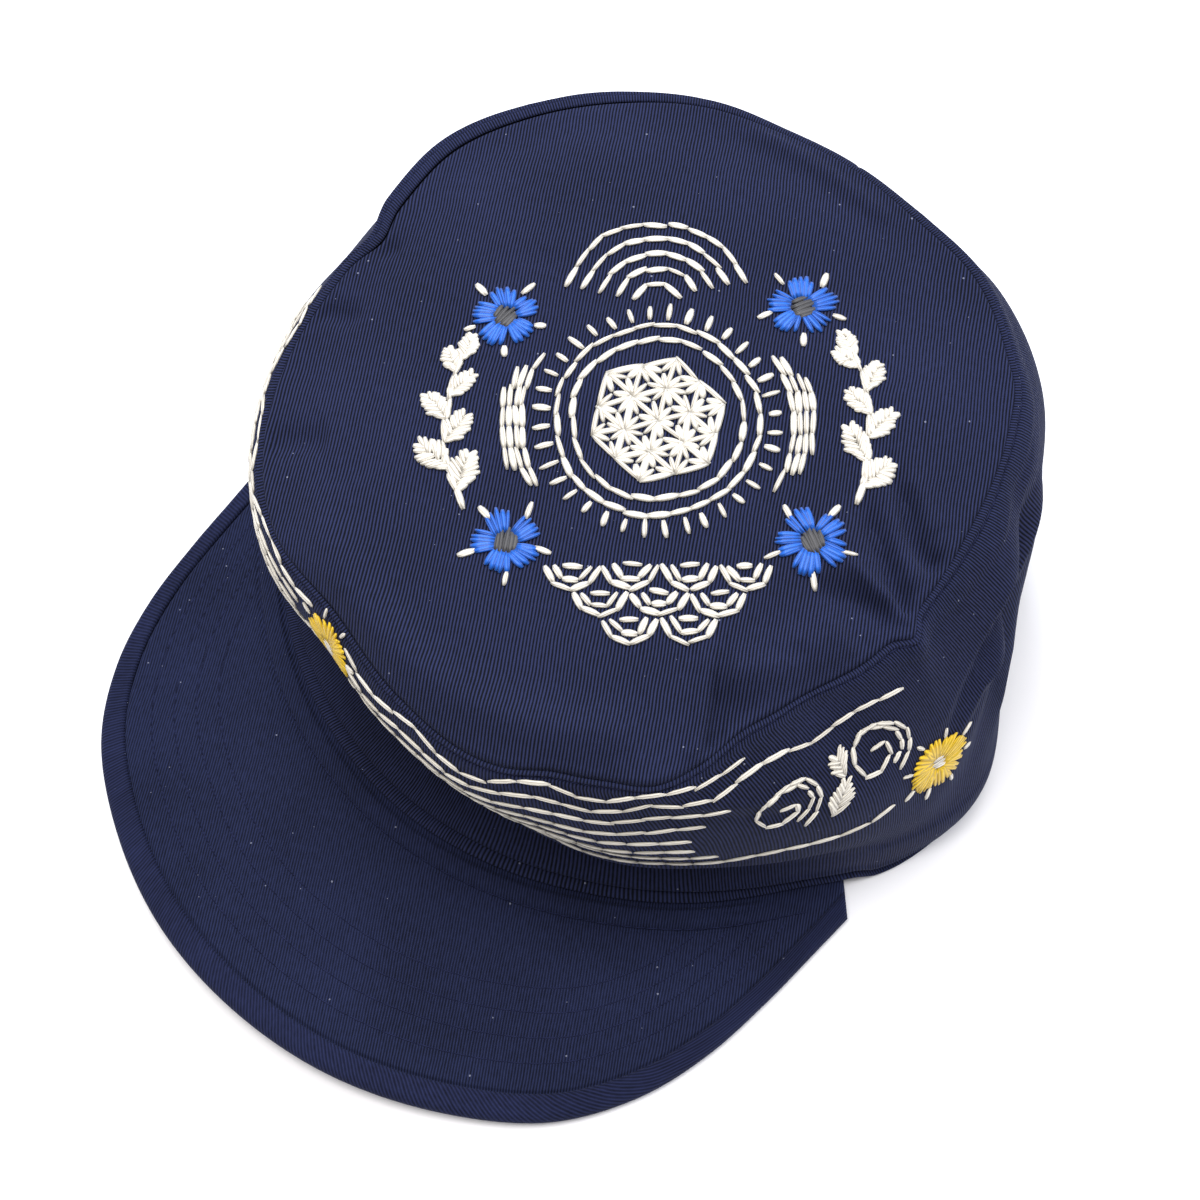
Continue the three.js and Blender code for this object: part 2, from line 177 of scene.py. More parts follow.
def ease(value, low, high):
    """0 below low, 1 above high, smooth between."""
    share = np.clip((value - low) / (high - low), 0, 1)
    return share * share * (3 - 2 * share)


def turn_between(start, end):
    """The shorter way round from one turn to another."""
    return (np.asarray(end) - start + 180) % 360 - 180


def polar(turn, out, height):
    """Points at a turn and a distance from the crown's axis."""
    angle = np.radians(turn)
    return np.stack(np.broadcast_arrays(out * np.sin(angle), -out * np.cos(angle), height), axis=-1)


def smooth_curve(knots, steps):
    """Points on centripetal Catmull-Rom curves. Knots are (..., knots, coordinates)."""
    before = 2 * knots[..., :1, :] - knots[..., 1:2, :]
    after = 2 * knots[..., -1:, :] - knots[..., -2:-1, :]
    knots = np.concatenate([before, knots, after], axis=-2)
    spans = np.sqrt(np.linalg.norm(np.diff(knots, axis=-2), axis=-1, keepdims=True))
    share = np.linspace(0, 1, steps, endpoint=False)[:, None]
    points = []
    for i in range(1, knots.shape[-2] - 2):
        a, b, c, d = (knots[..., i + k, None, :] for k in (-1, 0, 1, 2))
        ab, bc, cd = (spans[..., i + k, None, :] for k in (-1, 0, 1))
        leaving = bc * ((b - a) / ab - (c - a) / (ab + bc) + (c - b) / bc)
        arriving = bc * ((c - b) / bc - (d - b) / (bc + cd) + (d - c) / cd)
        bend = 3 * (c - b) - 2 * leaving - arriving
        twist = 2 * (b - c) + leaving + arriving
        points.append(b + share * (leaving + share * (bend + share * twist)))
    points.append(knots[..., -2:-1, :])
    return np.concatenate(points, axis=-2)


def lengths_along(points):
    """How far each point of a curve is from its start."""
    steps = np.linalg.norm(np.diff(points, axis=-2), axis=-1)
    return np.concatenate([np.zeros_like(steps[..., :1]), np.cumsum(steps, axis=-1)], axis=-1)


def ripples(points, size, seed):
    """Soft unevenness of about that size in millimetres, between about -1 and 1, from crossing waves."""
    draw = np.random.default_rng(seed)
    total = np.zeros(points.shape[:-1])
    waves = 9
    for _ in range(waves):
        direction = draw.normal(size=3)
        direction *= 2 * np.pi / (size * draw.uniform(0.7, 1.6) * np.linalg.norm(direction))
        total += np.sin(points @ direction + draw.uniform(0, 2 * np.pi))
    return total / np.sqrt(waves)


def band_column(name, turn):
    """One column of the band's sections, smoothly between its rows."""
    rows = BAND_SECTIONS[:, BAND_COLUMNS.index(name)]
    place = np.asarray(turn) % 360 / 360 * len(rows)
    row = np.floor(place).astype(int)
    share = place - row
    a, b, c, d = (rows[(row + k) % len(rows)] for k in (-1, 0, 1, 2))
    bend = 2 * a - 5 * b + 4 * c - d
    twist = 3 * (b - c) + d - a
    return b + share / 2 * (c - a + share * (bend + share * twist))


def seam_height(turn):
    """Height of the top seam, which leans down towards the front."""
    return TOP_HEIGHT - TOP_TILT * np.cos(np.radians(np.asarray(turn) - TOP_TILT_TURN))


def peak_middle(x, along):
    """Height of the middle of the peak's thickness, from its root, 0, to its outer edge, 1."""
    arch = np.cos(np.pi / 2 * np.minimum(1, np.abs(x) / PEAK_HALF_WIDTH)) ** 2
    return PEAK_RIM_HEIGHT + PEAK_RISE * arch * (1 - PEAK_FRONT_FALL * along)


def hem_height(turn):
    """Height of the band's lower edge, which stands on the peak in front and on the ground behind."""
    x = band_column("hem", turn) * np.sin(np.radians(turn))
    on_peak = peak_middle(x, 0) + PEAK_THICKNESS / 2 + SEWN_GAP
    return on_peak * (1 - ease(np.abs(turn_between(0, turn)), PEAK_ROOT_TURN, PEAK_ROOT_TURN + 4))


def band_profiles(turns):
    """Sections of the band as curves of distance and height, with the length along each."""
    hem = hem_height(turns)
    seam = seam_height(turns)
    corner = sum(c["out"] * bell(turn_between(c["turn"], turns), c["reach"]) for c in SEAM_CORNERS)
    outs = (
        band_column("hem", turns),
        band_column("tuck", turns),
        band_column("belly", turns),
        band_column("shoulder", turns) + CORNER_AT_SHOULDER * corner,
        band_column("seam", turns) + corner - SEAM_SETBACK,
    )
    heights = (hem, hem + TUCK_ABOVE_HEM, np.full_like(hem, BELLY_HEIGHT), seam - SHOULDER_BELOW_SEAM, seam)
    curves = smooth_curve(np.stack([np.stack(outs, -1), np.stack(heights, -1)], -1), 24)
    return curves, lengths_along(curves)


def band_relief(turn, from_hem, from_seam):
    """How far sewing makes the band's outer face stand proud: one line for each feature of it."""
    roll = 0.3 * (1 - ease(from_seam, SEAM_STITCH_DEPTH - 0.6, SEAM_STITCH_DEPTH))
    puff = np.interp(turn, PUFF_TURNS, PUFF_OUTS, period=360) * bell(from_seam - 3.4, 2.4)
    allowance = 0.3 * (1 - ease(from_seam, 5.5, 6.5))
    seam_line = -0.3 * bell(from_seam - SEAM_STITCH_DEPTH, 0.4)
    hem_line = -1.5 * bell(from_hem - HEM_STITCH_HEIGHT, 0.75)
    hem_edge = 0.9 * bell(from_hem - 0.9, 0.8) + 0.4 * bell(from_hem - 4.9, 1.2)
    hem_top = -0.3 * ease(from_hem, HEM_DEPTH - 1, HEM_DEPTH + 1)
    back_seam = -0.2 * bell(turn_between(180, turn), 0.4)
    return roll + puff + allowance + seam_line + hem_line + hem_edge + hem_top + back_seam


def crease_relief(turn, from_seam):
    """How far the sharp creases stand out: each falls away straight on both sides of its line."""
    signed_turn = turn_between(0, turn)
    total = np.zeros_like(from_seam)
    for crease in BAND_CREASES:
        turns = crease["turns"]
        down = from_seam - np.interp(signed_turn, turns, crease["below_seam"])
        tent = np.minimum(1 + down / crease["above"], 1 - down / crease["under"])
        total += np.interp(signed_turn, turns, crease["outs"], left=0, right=0) * np.maximum(0, tent)
    return total


def band_point(turn, rise, depth=0.0):
    """Points of the band's outer face, or that far behind it, from the hem, 0, to the top seam, 1."""
    turn, rise, depth = (values.astype(float) for values in np.broadcast_arrays(turn, rise, depth))
    shape = turn.shape
    turns, which = np.unique(turn.ravel(), return_inverse=True)
    curves, lengths = band_profiles(turns)
    curves, lengths = curves[which], lengths[which]
    length = lengths[:, -1]
    goal = rise.ravel() * length
    step = np.clip((lengths < goal[:, None]).sum(axis=1) - 1, 0, curves.shape[1] - 2)
    row = np.arange(len(goal))
    start, end = curves[row, step], curves[row, step + 1]
    share = (goal - lengths[row, step]) / (lengths[row, step + 1] - lengths[row, step])
    middle = start + (end - start) * share[:, None]
    along = (end - start) / np.linalg.norm(end - start, axis=1)[:, None]
    away = np.stack([along[:, 1], -along[:, 0] * ease(rise.ravel(), 0, FACE_TURN_SHARE)], axis=-1)
    away /= np.linalg.norm(away, axis=1)[:, None]
    held = ease(rise.ravel(), 0, HELD_AT_HEM) * ease(1 - rise.ravel(), 0, HELD_AT_SEAM)
    fold = np.zeros(len(goal))
    for f in BAND_FOLDS:
        place = f["turn"] + f["lean"] * (middle[:, 1] - f["height"])
        around = bell(turn_between(place, turn.ravel()), f["reach"])
        fold += f["out"] * around * bell(middle[:, 1] - f["height"], f["tall"])
    fold += crease_relief(turn.ravel(), length - goal)
    relief = band_relief(turn.ravel(), goal, length - goal) * ease(rise.ravel(), 0, HEM_EASE_SHARE)
    offset = relief - depth.ravel()
    out = middle[:, 0] + held * fold + offset * away[:, 0]
    points = polar(turn.ravel(), out, middle[:, 1] + offset * away[:, 1])
    uneven = BAND_UNEVEN_HEIGHT * held * ripples(points, BAND_UNEVEN_SIZE, 1)
    points += uneven[:, None] * polar(turn.ravel(), 1.0, 0.0)
    return points.reshape(*shape, 3)


def srgb(code):
    """A linear colour from an sRGB hex value."""
    parts = [int(code[i:i + 2], 16) / 255 for i in (1, 3, 5)]
    return tuple(p / 12.92 if p <= 0.04045 else ((p + 0.055) / 1.055) ** 2.4 for p in parts) + (1.0,)


def fill_inputs(tree, node, inputs):
    """Gives each named input of a node a value, or a link from a socket or from a node's first socket."""
    for name, value in inputs.items():
        if isinstance(value, bpy.types.Node):
            value = value.outputs[0]
        if isinstance(value, bpy.types.NodeSocket):
            tree.links.new(value, node.inputs[name])
        else:
            node.inputs[name].default_value = value


def add_node(tree, kind, settings=None, inputs=None):
    """Adds a node with its settings and inputs."""
    node = tree.nodes.new(kind)
    for name, value in (settings or {}).items():
        setattr(node, name, value)
    fill_inputs(tree, node, inputs or {})
    return node


def new_material(name):
    """A material, with its tree of nodes and its shader."""
    material = bpy.data.materials.new(name)
    material.use_nodes = True
    return material, material.node_tree, material.node_tree.nodes["Principled BSDF"]


def ridges(tree, count, crest=1.0):
    """Rounded ridges from 0 to 1, one for each whole number that count passes, flat above the crest."""
    turns = add_node(tree, "ShaderNodeMath", {"operation": "MULTIPLY"}, {0: count, 1: 2 * np.pi})
    wave = add_node(tree, "ShaderNodeMath", {"operation": "SINE"}, {0: turns})
    return add_node(tree, "ShaderNodeMapRange", inputs={"Value": wave, "From Min": -1.0, "From Max": crest})


# Drill colours: a painted highlight on the rib crests and painted shade in the grooves between them.
CROWN_RIB_HIGHLIGHT_COLOUR = "#2a3053"
CROWN_GROOVE_SHADE_COLOUR = "#05070f"
SLUB_CONTRAST = 0.9
SLUB_STRETCH = 0.55
WEAR_CONTRAST = 0.12
RIB_WANDER = 2.2
DUST_COLOUR = "#a6aabf"


def cotton_drill(name, rib_highlight_colour, groove_shade_colour, rib_turn, rib_contrast=1.4, rib_pitch=0.68):
    """Dyed cotton drill: steep twill ribs, a painted highlight on them and painted shade in their grooves,
    matt, with specks of pale dust.

    The ribs follow the piece's own cloth map, in millimetres, at rib_turn degrees from its first axis.
    They are about 0.65 mm apart on the real cloth, and within 5 % of that here.
    """
    material, tree, shader = new_material(name)
    cloth = add_node(tree, "ShaderNodeUVMap", {"uv_map": "cloth"}).outputs["UV"]
    metres = add_node(tree, "ShaderNodeTexCoord").outputs["Object"]
    place = add_node(tree, "ShaderNodeVectorMath", {"operation": "SCALE"}, {
        0: metres, "Scale": 1 / MM}).outputs["Vector"]
    turn = np.radians(rib_turn)
    across = add_node(tree, "ShaderNodeVectorMath", {"operation": "DOT_PRODUCT"}, {
        0: cloth, 1: (np.sin(turn) / rib_pitch, -np.cos(turn) / rib_pitch, 0)})
    along = add_node(tree, "ShaderNodeVectorMath", {"operation": "DOT_PRODUCT"}, {
        0: cloth, 1: (SLUB_STRETCH * np.cos(turn), SLUB_STRETCH * np.sin(turn), 0)})
    wander = add_node(tree, "ShaderNodeTexNoise", inputs={"Vector": place, "Scale": 0.05, "Detail": 2.0})
    shifted = add_node(tree, "ShaderNodeMath", {"operation": "MULTIPLY_ADD"}, {
        0: wander, 1: RIB_WANDER, 2: across.outputs["Value"]})
    rib = ridges(tree, shifted)
    yarns = add_node(tree, "ShaderNodeCombineXYZ", inputs={
        "X": shifted, "Y": along.outputs["Value"]})
    slubs = add_node(tree, "ShaderNodeTexNoise", inputs={
        "Vector": yarns, "Scale": 0.9, "Detail": 3.0, "Roughness": 0.65})
    height = add_node(tree, "ShaderNodeMath", {"operation": "MULTIPLY_ADD"}, {
        0: slubs, 1: 0.6, 2: rib})
    bump = add_node(tree, "ShaderNodeBump", inputs={
        "Height": height, "Strength": 0.75, "Distance": 0.2 * MM})
    level = 0.5 - SLUB_CONTRAST / 2 - rib_contrast / 2
    worn = add_node(tree, "ShaderNodeTexNoise", inputs={"Vector": place, "Scale": 0.04, "Detail": 4.0})
    tone = add_node(tree, "ShaderNodeMapRange", inputs={
        "Value": worn, "From Min": 0.3, "From Max": 0.7,
        "To Min": level - WEAR_CONTRAST, "To Max": level + WEAR_CONTRAST})
    uneven = add_node(tree, "ShaderNodeMath", {"operation": "MULTIPLY_ADD"}, {
        0: slubs, 1: SLUB_CONTRAST, 2: tone})
    lift = add_node(tree, "ShaderNodeMath", {"operation": "MULTIPLY_ADD", "use_clamp": True}, {
        0: rib, 1: rib_contrast, 2: uneven})
    # Painted shade in the grooves and a painted highlight on the rib crests, blended across each rib.
    dyed_ribs_lit_and_shaded = add_node(tree, "ShaderNodeMix", {"data_type": "RGBA"}, {
        "Factor": lift, 6: srgb(groove_shade_colour), 7: srgb(rib_highlight_colour)})
    dust = add_node(tree, "ShaderNodeTexVoronoi", inputs={"Vector": place, "Scale": 0.3})
    chance = add_node(tree, "ShaderNodeSeparateColor", inputs={0: dust.outputs["Color"]})
    size = add_node(tree, "ShaderNodeMapRange", inputs={
        "Value": chance, "From Min": 0.2, "From Max": 1.0, "To Min": 0.0, "To Max": 0.07})
    is_speck = add_node(tree, "ShaderNodeMath", {"operation": "LESS_THAN"}, {
        0: dust.outputs["Distance"], 1: size})
    speck = add_node(tree, "ShaderNodeMath", {"operation": "MULTIPLY"}, {0: is_speck, 1: 0.45})
    surface = add_node(tree, "ShaderNodeMix", {"data_type": "RGBA"}, {
        "Factor": speck, 6: dyed_ribs_lit_and_shaded.outputs[2], 7: srgb(DUST_COLOUR)})
    fill_inputs(tree, shader, {
        "Base Color": surface.outputs[2], "Normal": bump,
        "Roughness": 0.88, "Specular IOR Level": 0.15,
        "Sheen Weight": 0.08, "Sheen Roughness": 0.45, "Sheen Tint": srgb("#949dcc")})
    return material


def cloth_piece(name, grid, cloth, material, round_closed, section_closed):
    """A cloth mesh from a grid of points in millimetres, with a map of the cloth at each corner.

    Where the grid closes on itself, the map has one more row or column than the grid.
    """
    ids = np.arange(grid.shape[0] * grid.shape[1]).reshape(grid.shape[:2])
    if round_closed:
        ids = np.concatenate([ids, ids[:1]], axis=0)
    if section_closed:
        ids = np.concatenate([ids, ids[:, :1]], axis=1)
    corners = [(slice(None, -1), slice(None, -1)), (slice(1, None), slice(None, -1)),
               (slice(1, None), slice(1, None)), (slice(None, -1), slice(1, None))]
    faces = np.stack([ids[c] for c in corners], axis=-1).reshape(-1, 4)
    mesh = bpy.data.meshes.new(name)
    places = (grid.reshape(-1, 3) + np.array(CROWN_AXIS)) * MM
    mesh.from_pydata(places.tolist(), [], faces.tolist())
    layer = mesh.uv_layers.new(name="cloth")
    layer.data.foreach_set("uv", np.stack([cloth[c] for c in corners], axis=2).reshape(-1))
    mesh.materials.append(material)
    shell = bmesh.new()
    shell.from_mesh(mesh)
    bmesh.ops.remove_doubles(shell, verts=shell.verts, dist=0.002 * MM)
    bmesh.ops.dissolve_degenerate(shell, edges=shell.edges, dist=0.001 * MM)
    bmesh.ops.recalc_face_normals(shell, faces=shell.faces)
    shell.to_mesh(mesh)
    shell.free()
    mesh.shade_smooth()
    piece = bpy.data.objects.new(name, mesh)
    bpy.context.collection.objects.link(piece)
    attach(piece, "root")
    return piece


BAND_TURNS = 600
HEM_SHARE = 0.09
SEAM_SHARE = 0.06
FACE_END = 0.988
ROLL_START = 0.982
ROLL_FULLNESS = 0.98
INNER_END = 0.972
BAND_INNER_ROWS = 16
HEM_TOP_SLOPE = 3
MEAN_RADIUS = 82.0
ASKEW_TURNS = (10, 45, 70, 100)
ASKEW_LEANS = (0, 0.5, 0.5, 0)
ASKEW_REACH = 25

band_turns = np.arange(BAND_TURNS) * 360 / BAND_TURNS
band_lengths = band_profiles(band_turns)[1][:, -1]


def band_length(turn):
    """Length of the band's section, from the hem to the top seam."""
    return np.interp(turn, band_turns, band_lengths, period=360)


# The outer face rolls over just short of the seam, and the wall's top slopes in and down to the inner face.
outer_rise = np.concatenate([
    np.linspace(0, HEM_SHARE, 22, endpoint=False),
    np.linspace(HEM_SHARE, 1 - SEAM_SHARE, 94, endpoint=False),
    np.linspace(1 - SEAM_SHARE, 1, 20),
])
outer_from_hem = outer_rise[None, :] * band_lengths[:, None]
rolled = ROLL_FULLNESS * ease(outer_rise, ROLL_START, 1.0) ** 2
outer_depth = SEAM_ROLL * (1 - np.sqrt(1 - rolled))[None, :]
hem_corner = 1 - np.minimum(1, outer_from_hem / HEM_EDGE_ROUND)
outer_depth = outer_depth + HEM_EDGE_ROUND * (1 - np.sqrt(1 - hem_corner ** 2))
inner_rise = np.linspace(INNER_END, 0, BAND_INNER_ROWS)
inner_from_hem = inner_rise[None, :] * band_lengths[:, None]
above_hem = ease(inner_from_hem, HEM_DEPTH, HEM_DEPTH + HEM_TOP_SLOPE)
inner_depth = HEM_THICKNESS - (HEM_THICKNESS - BAND_THICKNESS) * above_hem
outer_face = band_point(band_turns[:, None], outer_rise[None, :] * FACE_END, outer_depth)
inner_face = band_point(band_turns[:, None], inner_rise[None, :], inner_depth)
band_grid = np.concatenate([outer_face, inner_face], axis=1)
section_lengths = lengths_along(np.concatenate([band_grid, band_grid[:, :1]], axis=1))
cloth_round = np.broadcast_to(
    (np.arange(BAND_TURNS + 1) * 2 * np.pi * MEAN_RADIUS / BAND_TURNS)[:, None],
    (BAND_TURNS + 1, band_grid.shape[1] + 1))

# Over the wearer's left front the cloth hangs askew, so its ribs lean, most of all just below the seam.
askew_lean = np.interp(band_turns, ASKEW_TURNS, ASKEW_LEANS, left=0, right=0)[:, None]
below_seam = np.maximum(0, band_lengths[:, None] - section_lengths)
askew = askew_lean * ASKEW_REACH * np.tanh(below_seam / ASKEW_REACH)
whole_round = np.arange(BAND_TURNS + 1) % BAND_TURNS
band_cloth = np.stack([cloth_round - askew[whole_round], section_lengths[whole_round]], axis=-1)
band_drill = cotton_drill(
    "navy_cotton_drill_upright", CROWN_RIB_HIGHLIGHT_COLOUR, CROWN_GROOVE_SHADE_COLOUR, rib_turn=90, rib_contrast=1.15)
side_band = cloth_piece("side_band_cloth", band_grid, band_cloth, band_drill, True, True)
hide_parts("side_band")


# Top panel of the crown.
# One near-round piece of the same drill, sewn to the band edge to edge, face to face, and turned out.
# It sags a little inside the seam and creases towards the corner over the wearer's left temple.
TOP_THICKNESS = 1.8
TOP_DOME = 3.2
TOP_GROOVE_DEPTH = 1.1
TOP_GROOVE_WIDTH = 6
TOP_EDGE_ROLL = 1.0
SEAM_DITCH = 0.4
TOP_FRONT_TURN = 25
TOP_FRONT_REACH = 62
TOP_UNEVEN_HEIGHT = 0.25
TOP_UNEVEN_SIZE = 38
UNDER_INSET = 1.9
DRILL_TURN = 119
TOP_FOLDS = (
    dict(x=(50, 58, 64, 69), y=(-4.5, -7, -7, -9), wide=1.5, rise=2.0),
    dict(x=(47, 56, 62, 68), y=(-15, -12, -10, -10), wide=3.0, rise=-2.2),
    dict(x=(46, 53, 58, 65, 69), y=(9, 2, -1, -5, -7), wide=1.8, rise=-2.6),
    dict(x=(46, 52, 56, 62, 67), y=(12, 10, 6, 2, -3), wide=2.0, rise=1.5),
    dict(x=(46, 55, 60, 65, 69), y=(16, 10, 6, 5, 7), wide=2.5, rise=-3.2),
    dict(x=(50, 57, 63), y=(17, 13, 10), wide=2.4, rise=0.7),
    dict(x=(40, 46, 51, 54), y=(-34, -43, -51, -58), wide=1.7, rise=1.5),
    dict(x=(43, 49, 54, 56.5), y=(-32, -42, -50, -56), wide=1.4, rise=-2.2),
    dict(x=(49, 54, 57, 59), y=(-36, -43, -49, -54), wide=4.5, rise=-1.5),
    dict(x=(50, 54, 58), y=(-32, -29, -26), wide=2.2, rise=-1.1),
    dict(x=(67, 69, 71), y=(-20, -17, -13), wide=2.2, rise=-0.8),
    dict(x=(47, 50.5, 54.3, 59, 61), y=(-43.5, -38, -31, -22.5, -16), wide=5.0, rise=3.2),
    dict(x=(-46, -32, -12, 8, 22, 36, 45), y=(-56, -66, -73, -75, -72, -64, -57), wide=4.8, rise=3.0),
    dict(x=(-75, -67, -58), y=(-34, -28, -24), wide=2.6, rise=-1.6),
    dict(x=(-57, -50, -45), y=(-59, -53, -49), wide=3.5, rise=-1.6),
    dict(x=(-79, -71, -62), y=(-5, -7, -8), wide=2.4, rise=-1.5),
    dict(x=(-30, -11, 1, 16), y=(60, 62, 62, 61), wide=2.4, rise=1.5),
    dict(x=(-48, -20, 8), y=(-52, -44, -36), wide=12.0, rise=-0.8),
    dict(x=(-56, -44, -34), y=(52, 30, 8), wide=9.0, rise=1.0),
    dict(x=(-4, 18, 42), y=(26, 38, 50), wide=12.0, rise=-1.0),
)
TOP_TURNS = 480
TOP_RINGS = 96

# The panel stops a little short of the band, which leaves a dark ditch along the seam.
edge_points = band_point(band_turns, FACE_END)
edge_outs = np.hypot(edge_points[:, 0], edge_points[:, 1]) - SEAM_DITCH


def top_edge(turn):
    """Distance of the top panel's edge from the axis."""
    return np.interp(turn, band_turns, edge_outs, period=360)


def fold_relief(x, y):
    """How far the top panel's folds raise it. Each fades towards both ends of its line."""
    places = np.stack([x, y], axis=-1)
    total = np.zeros(np.shape(x))
    for fold in TOP_FOLDS:
        line = smooth_curve(np.stack([fold["x"], fold["y"]], axis=-1).astype(float), 4)
        steps = np.diff(line, axis=0)
        margin = 2.6 * fold["wide"]
        low, high = line.min(axis=0) - margin, line.max(axis=0) + margin
        close = ((places > low) & (places < high)).all(axis=-1)
        from_start = places[close][:, None, :] - line[:-1]
        share = np.clip((from_start * steps).sum(axis=-1) / (steps ** 2).sum(axis=-1), 0, 1)
        distance = np.linalg.norm(from_start - share[..., None] * steps, axis=-1)
        nearest = distance.argmin(axis=-1)
        along = (nearest + share[np.arange(len(nearest)), nearest]) / len(steps)
        fading = ease(along, 0, 0.25) * ease(1 - along, 0, 0.15)
        total[close] += fold["rise"] * fading * bell(distance.min(axis=-1), fold["wide"])
    return total


def top_point(x, y):
    """Points of the top panel's upper face."""
    turn = np.degrees(np.arctan2(x, -y))
    edge = top_edge(turn)
    reach = np.minimum(1, np.hypot(x, y) / edge)
    from_edge = edge * (1 - reach)
    height = TOP_HEIGHT + (seam_height(turn) - TOP_HEIGHT) * reach + TOP_DOME * (1 - reach ** 2)
    behind = 1 - bell(turn_between(TOP_FRONT_TURN, turn), TOP_FRONT_REACH)
    height -= TOP_GROOVE_DEPTH * behind * bell(from_edge - TOP_GROOVE_WIDTH, TOP_GROOVE_WIDTH)
    height += fold_relief(x, y) * ease(from_edge, 0, 3)
    flat = np.stack([x, y, np.zeros_like(x)], axis=-1)
    height += TOP_UNEVEN_HEIGHT * ripples(flat, TOP_UNEVEN_SIZE, 2) * ease(from_edge, 0, 12)
    sunk = TOP_EDGE_ROLL - from_edge
    height -= TOP_EDGE_ROLL - np.sqrt(TOP_EDGE_ROLL ** 2 - np.clip(sunk, 0, TOP_EDGE_ROLL) ** 2)
    return np.stack([x, y, height], axis=-1)


top_turns = np.arange(TOP_TURNS) * 360 / TOP_TURNS
ring_share = np.linspace(0, 1, TOP_RINGS) ** 0.8
ring_edge = top_edge(top_turns)[:, None]
under_share = np.array([1.0, 0.9, 0.6, 0.3, 0.0])
ring_outs = np.concatenate([ring_edge * ring_share, (ring_edge - UNDER_INSET) * under_share], axis=1)
ring_places = polar(top_turns[:, None], ring_outs, 0.0)
top_grid = top_point(ring_places[..., 0], ring_places[..., 1])
top_grid[:, TOP_RINGS:, 2] -= TOP_THICKNESS
top_cloth = np.concatenate([top_grid, top_grid[:1]], axis=0)[..., :2]
crown_drill = cotton_drill("navy_cotton_drill", CROWN_RIB_HIGHLIGHT_COLOUR, CROWN_GROOVE_SHADE_COLOUR, DRILL_TURN)
crown_top = cloth_piece("crown_top_cloth", top_grid, top_cloth, crown_drill, True, False)
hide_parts("crown_top")


# Peak.
# A stiff board between two layers of drill, stitched through in rows that follow its edge,
# and sewn in under the front of the band. The cloth's allowance shows as a low ridge beside the band.
PEAK_RIM_THICKNESS = 1.4
PEAK_SKEW = -0.7
PEAK_EDGE_TURNS = (0, 10, 20, 30, 38, 45, 52.5, 59, 65)
PEAK_EDGE_OUTS = (141.3, 140.6, 138.0, 134.0, 127.0, 118.6, 109.2, 102.6, 98.2)
PEAK_ROWS = (12.5, 18, 23.5, 29)
PEAK_SEAM_LINE = 5.8
BINDING_WIDTH = 6
BINDING_EDGE = 1
BODY_INSET = 6.15
END_ROUND = 1.2
STEP_GROWTH = 1.15
PEAK_STATIONS = 320
PEAK_STEPS = 120

signed_turns = np.concatenate([-np.array(PEAK_EDGE_TURNS[:0:-1]), PEAK_EDGE_TURNS])
signed_outs = np.concatenate([PEAK_EDGE_OUTS[:0:-1], PEAK_EDGE_OUTS])
skewed_turns = signed_turns + PEAK_SKEW * (1 - (signed_turns / PEAK_EDGE_TURNS[-1]) ** 2)
peak_edge_curve = smooth_curve(polar(skewed_turns, signed_outs, 0.0), 40)
peak_edge_lengths = lengths_along(peak_edge_curve)
PEAK_EDGE_LENGTH = peak_edge_lengths[-1]


def peak_line(u):
    """The peak's outer edge in plan, at a share u of the way along it, and its root across from there."""
    goal = np.asarray(u) * PEAK_EDGE_LENGTH
    edge = np.stack([np.interp(goal, peak_edge_lengths, column) for column in peak_edge_curve.T], axis=-1)
    turn = PEAK_ROOT_TURN * (2 * np.asarray(u) - 1)
    root = polar(turn, band_column("hem", turn) - HEM_THICKNESS, 0.0)
    return edge, root


def peak_point(u, inset, offset=0.0):
    """Points at an inset from the peak's outer edge, and an offset up from its middle."""
    u, inset, offset = np.broadcast_arrays(u, inset, offset)
    edge, root = peak_line(u)
    length = np.linalg.norm(edge - root, axis=-1)
    share = (inset / length)[..., None]
    point = edge + (root - edge) * share
    point[..., 2] = peak_middle(point[..., 0], 1 - share[..., 0]) + offset
    return point


def peak_relief(point, inset):
    """How far stitching and the turned allowance raise the peak's upper cloth: a line for each feature."""
    out = np.hypot(point[..., 0], point[..., 1])
    turn = np.degrees(np.arctan2(point[..., 0], -point[..., 1]))
    beyond_hem = out - band_column("hem", turn)
    rows = sum(bell(inset - row, 0.9) for row in PEAK_ROWS) * ease(beyond_hem, 6.5, 8)
    in_front = ease(60 - np.abs(turn), 0, 12)
    past_seam_line = ease(beyond_hem, PEAK_SEAM_LINE - 0.2, PEAK_SEAM_LINE + 0.6)
    allowance = 1.2 * ease(beyond_hem, 1.0, 2.0) * (1 - past_seam_line)
    seam_line = -0.8 * bell(beyond_hem - PEAK_SEAM_LINE, 0.7)
    pucker = -0.5 * bell(beyond_hem - 2.6, 0.9) * bell(np.abs(turn) - 54, 7)
    ditch = -0.55 * bell(inset - BODY_INSET, 0.4)
    beside_band = (allowance + seam_line + pucker) * in_front
    return 0.1 + ditch - 0.03 * rows + beside_band + 0.1 * ripples(point, 22, 3)


def end_taper(u):
    """How thick a folded end is, as a share of the full thickness."""
    from_end = np.minimum(u, 1 - u) * PEAK_EDGE_LENGTH
    return np.sqrt(1 - (1 - np.minimum(1, from_end / END_ROUND)) ** 2)


def end_to_end(stations):
    """Shares along the peak's edge, closer together where its ends are folded."""
    at_start = np.array([0, 0.0008, 0.002, 0.004])
    return np.concatenate([at_start, np.linspace(0.006, 0.994, stations), 1 - at_start[::-1]])


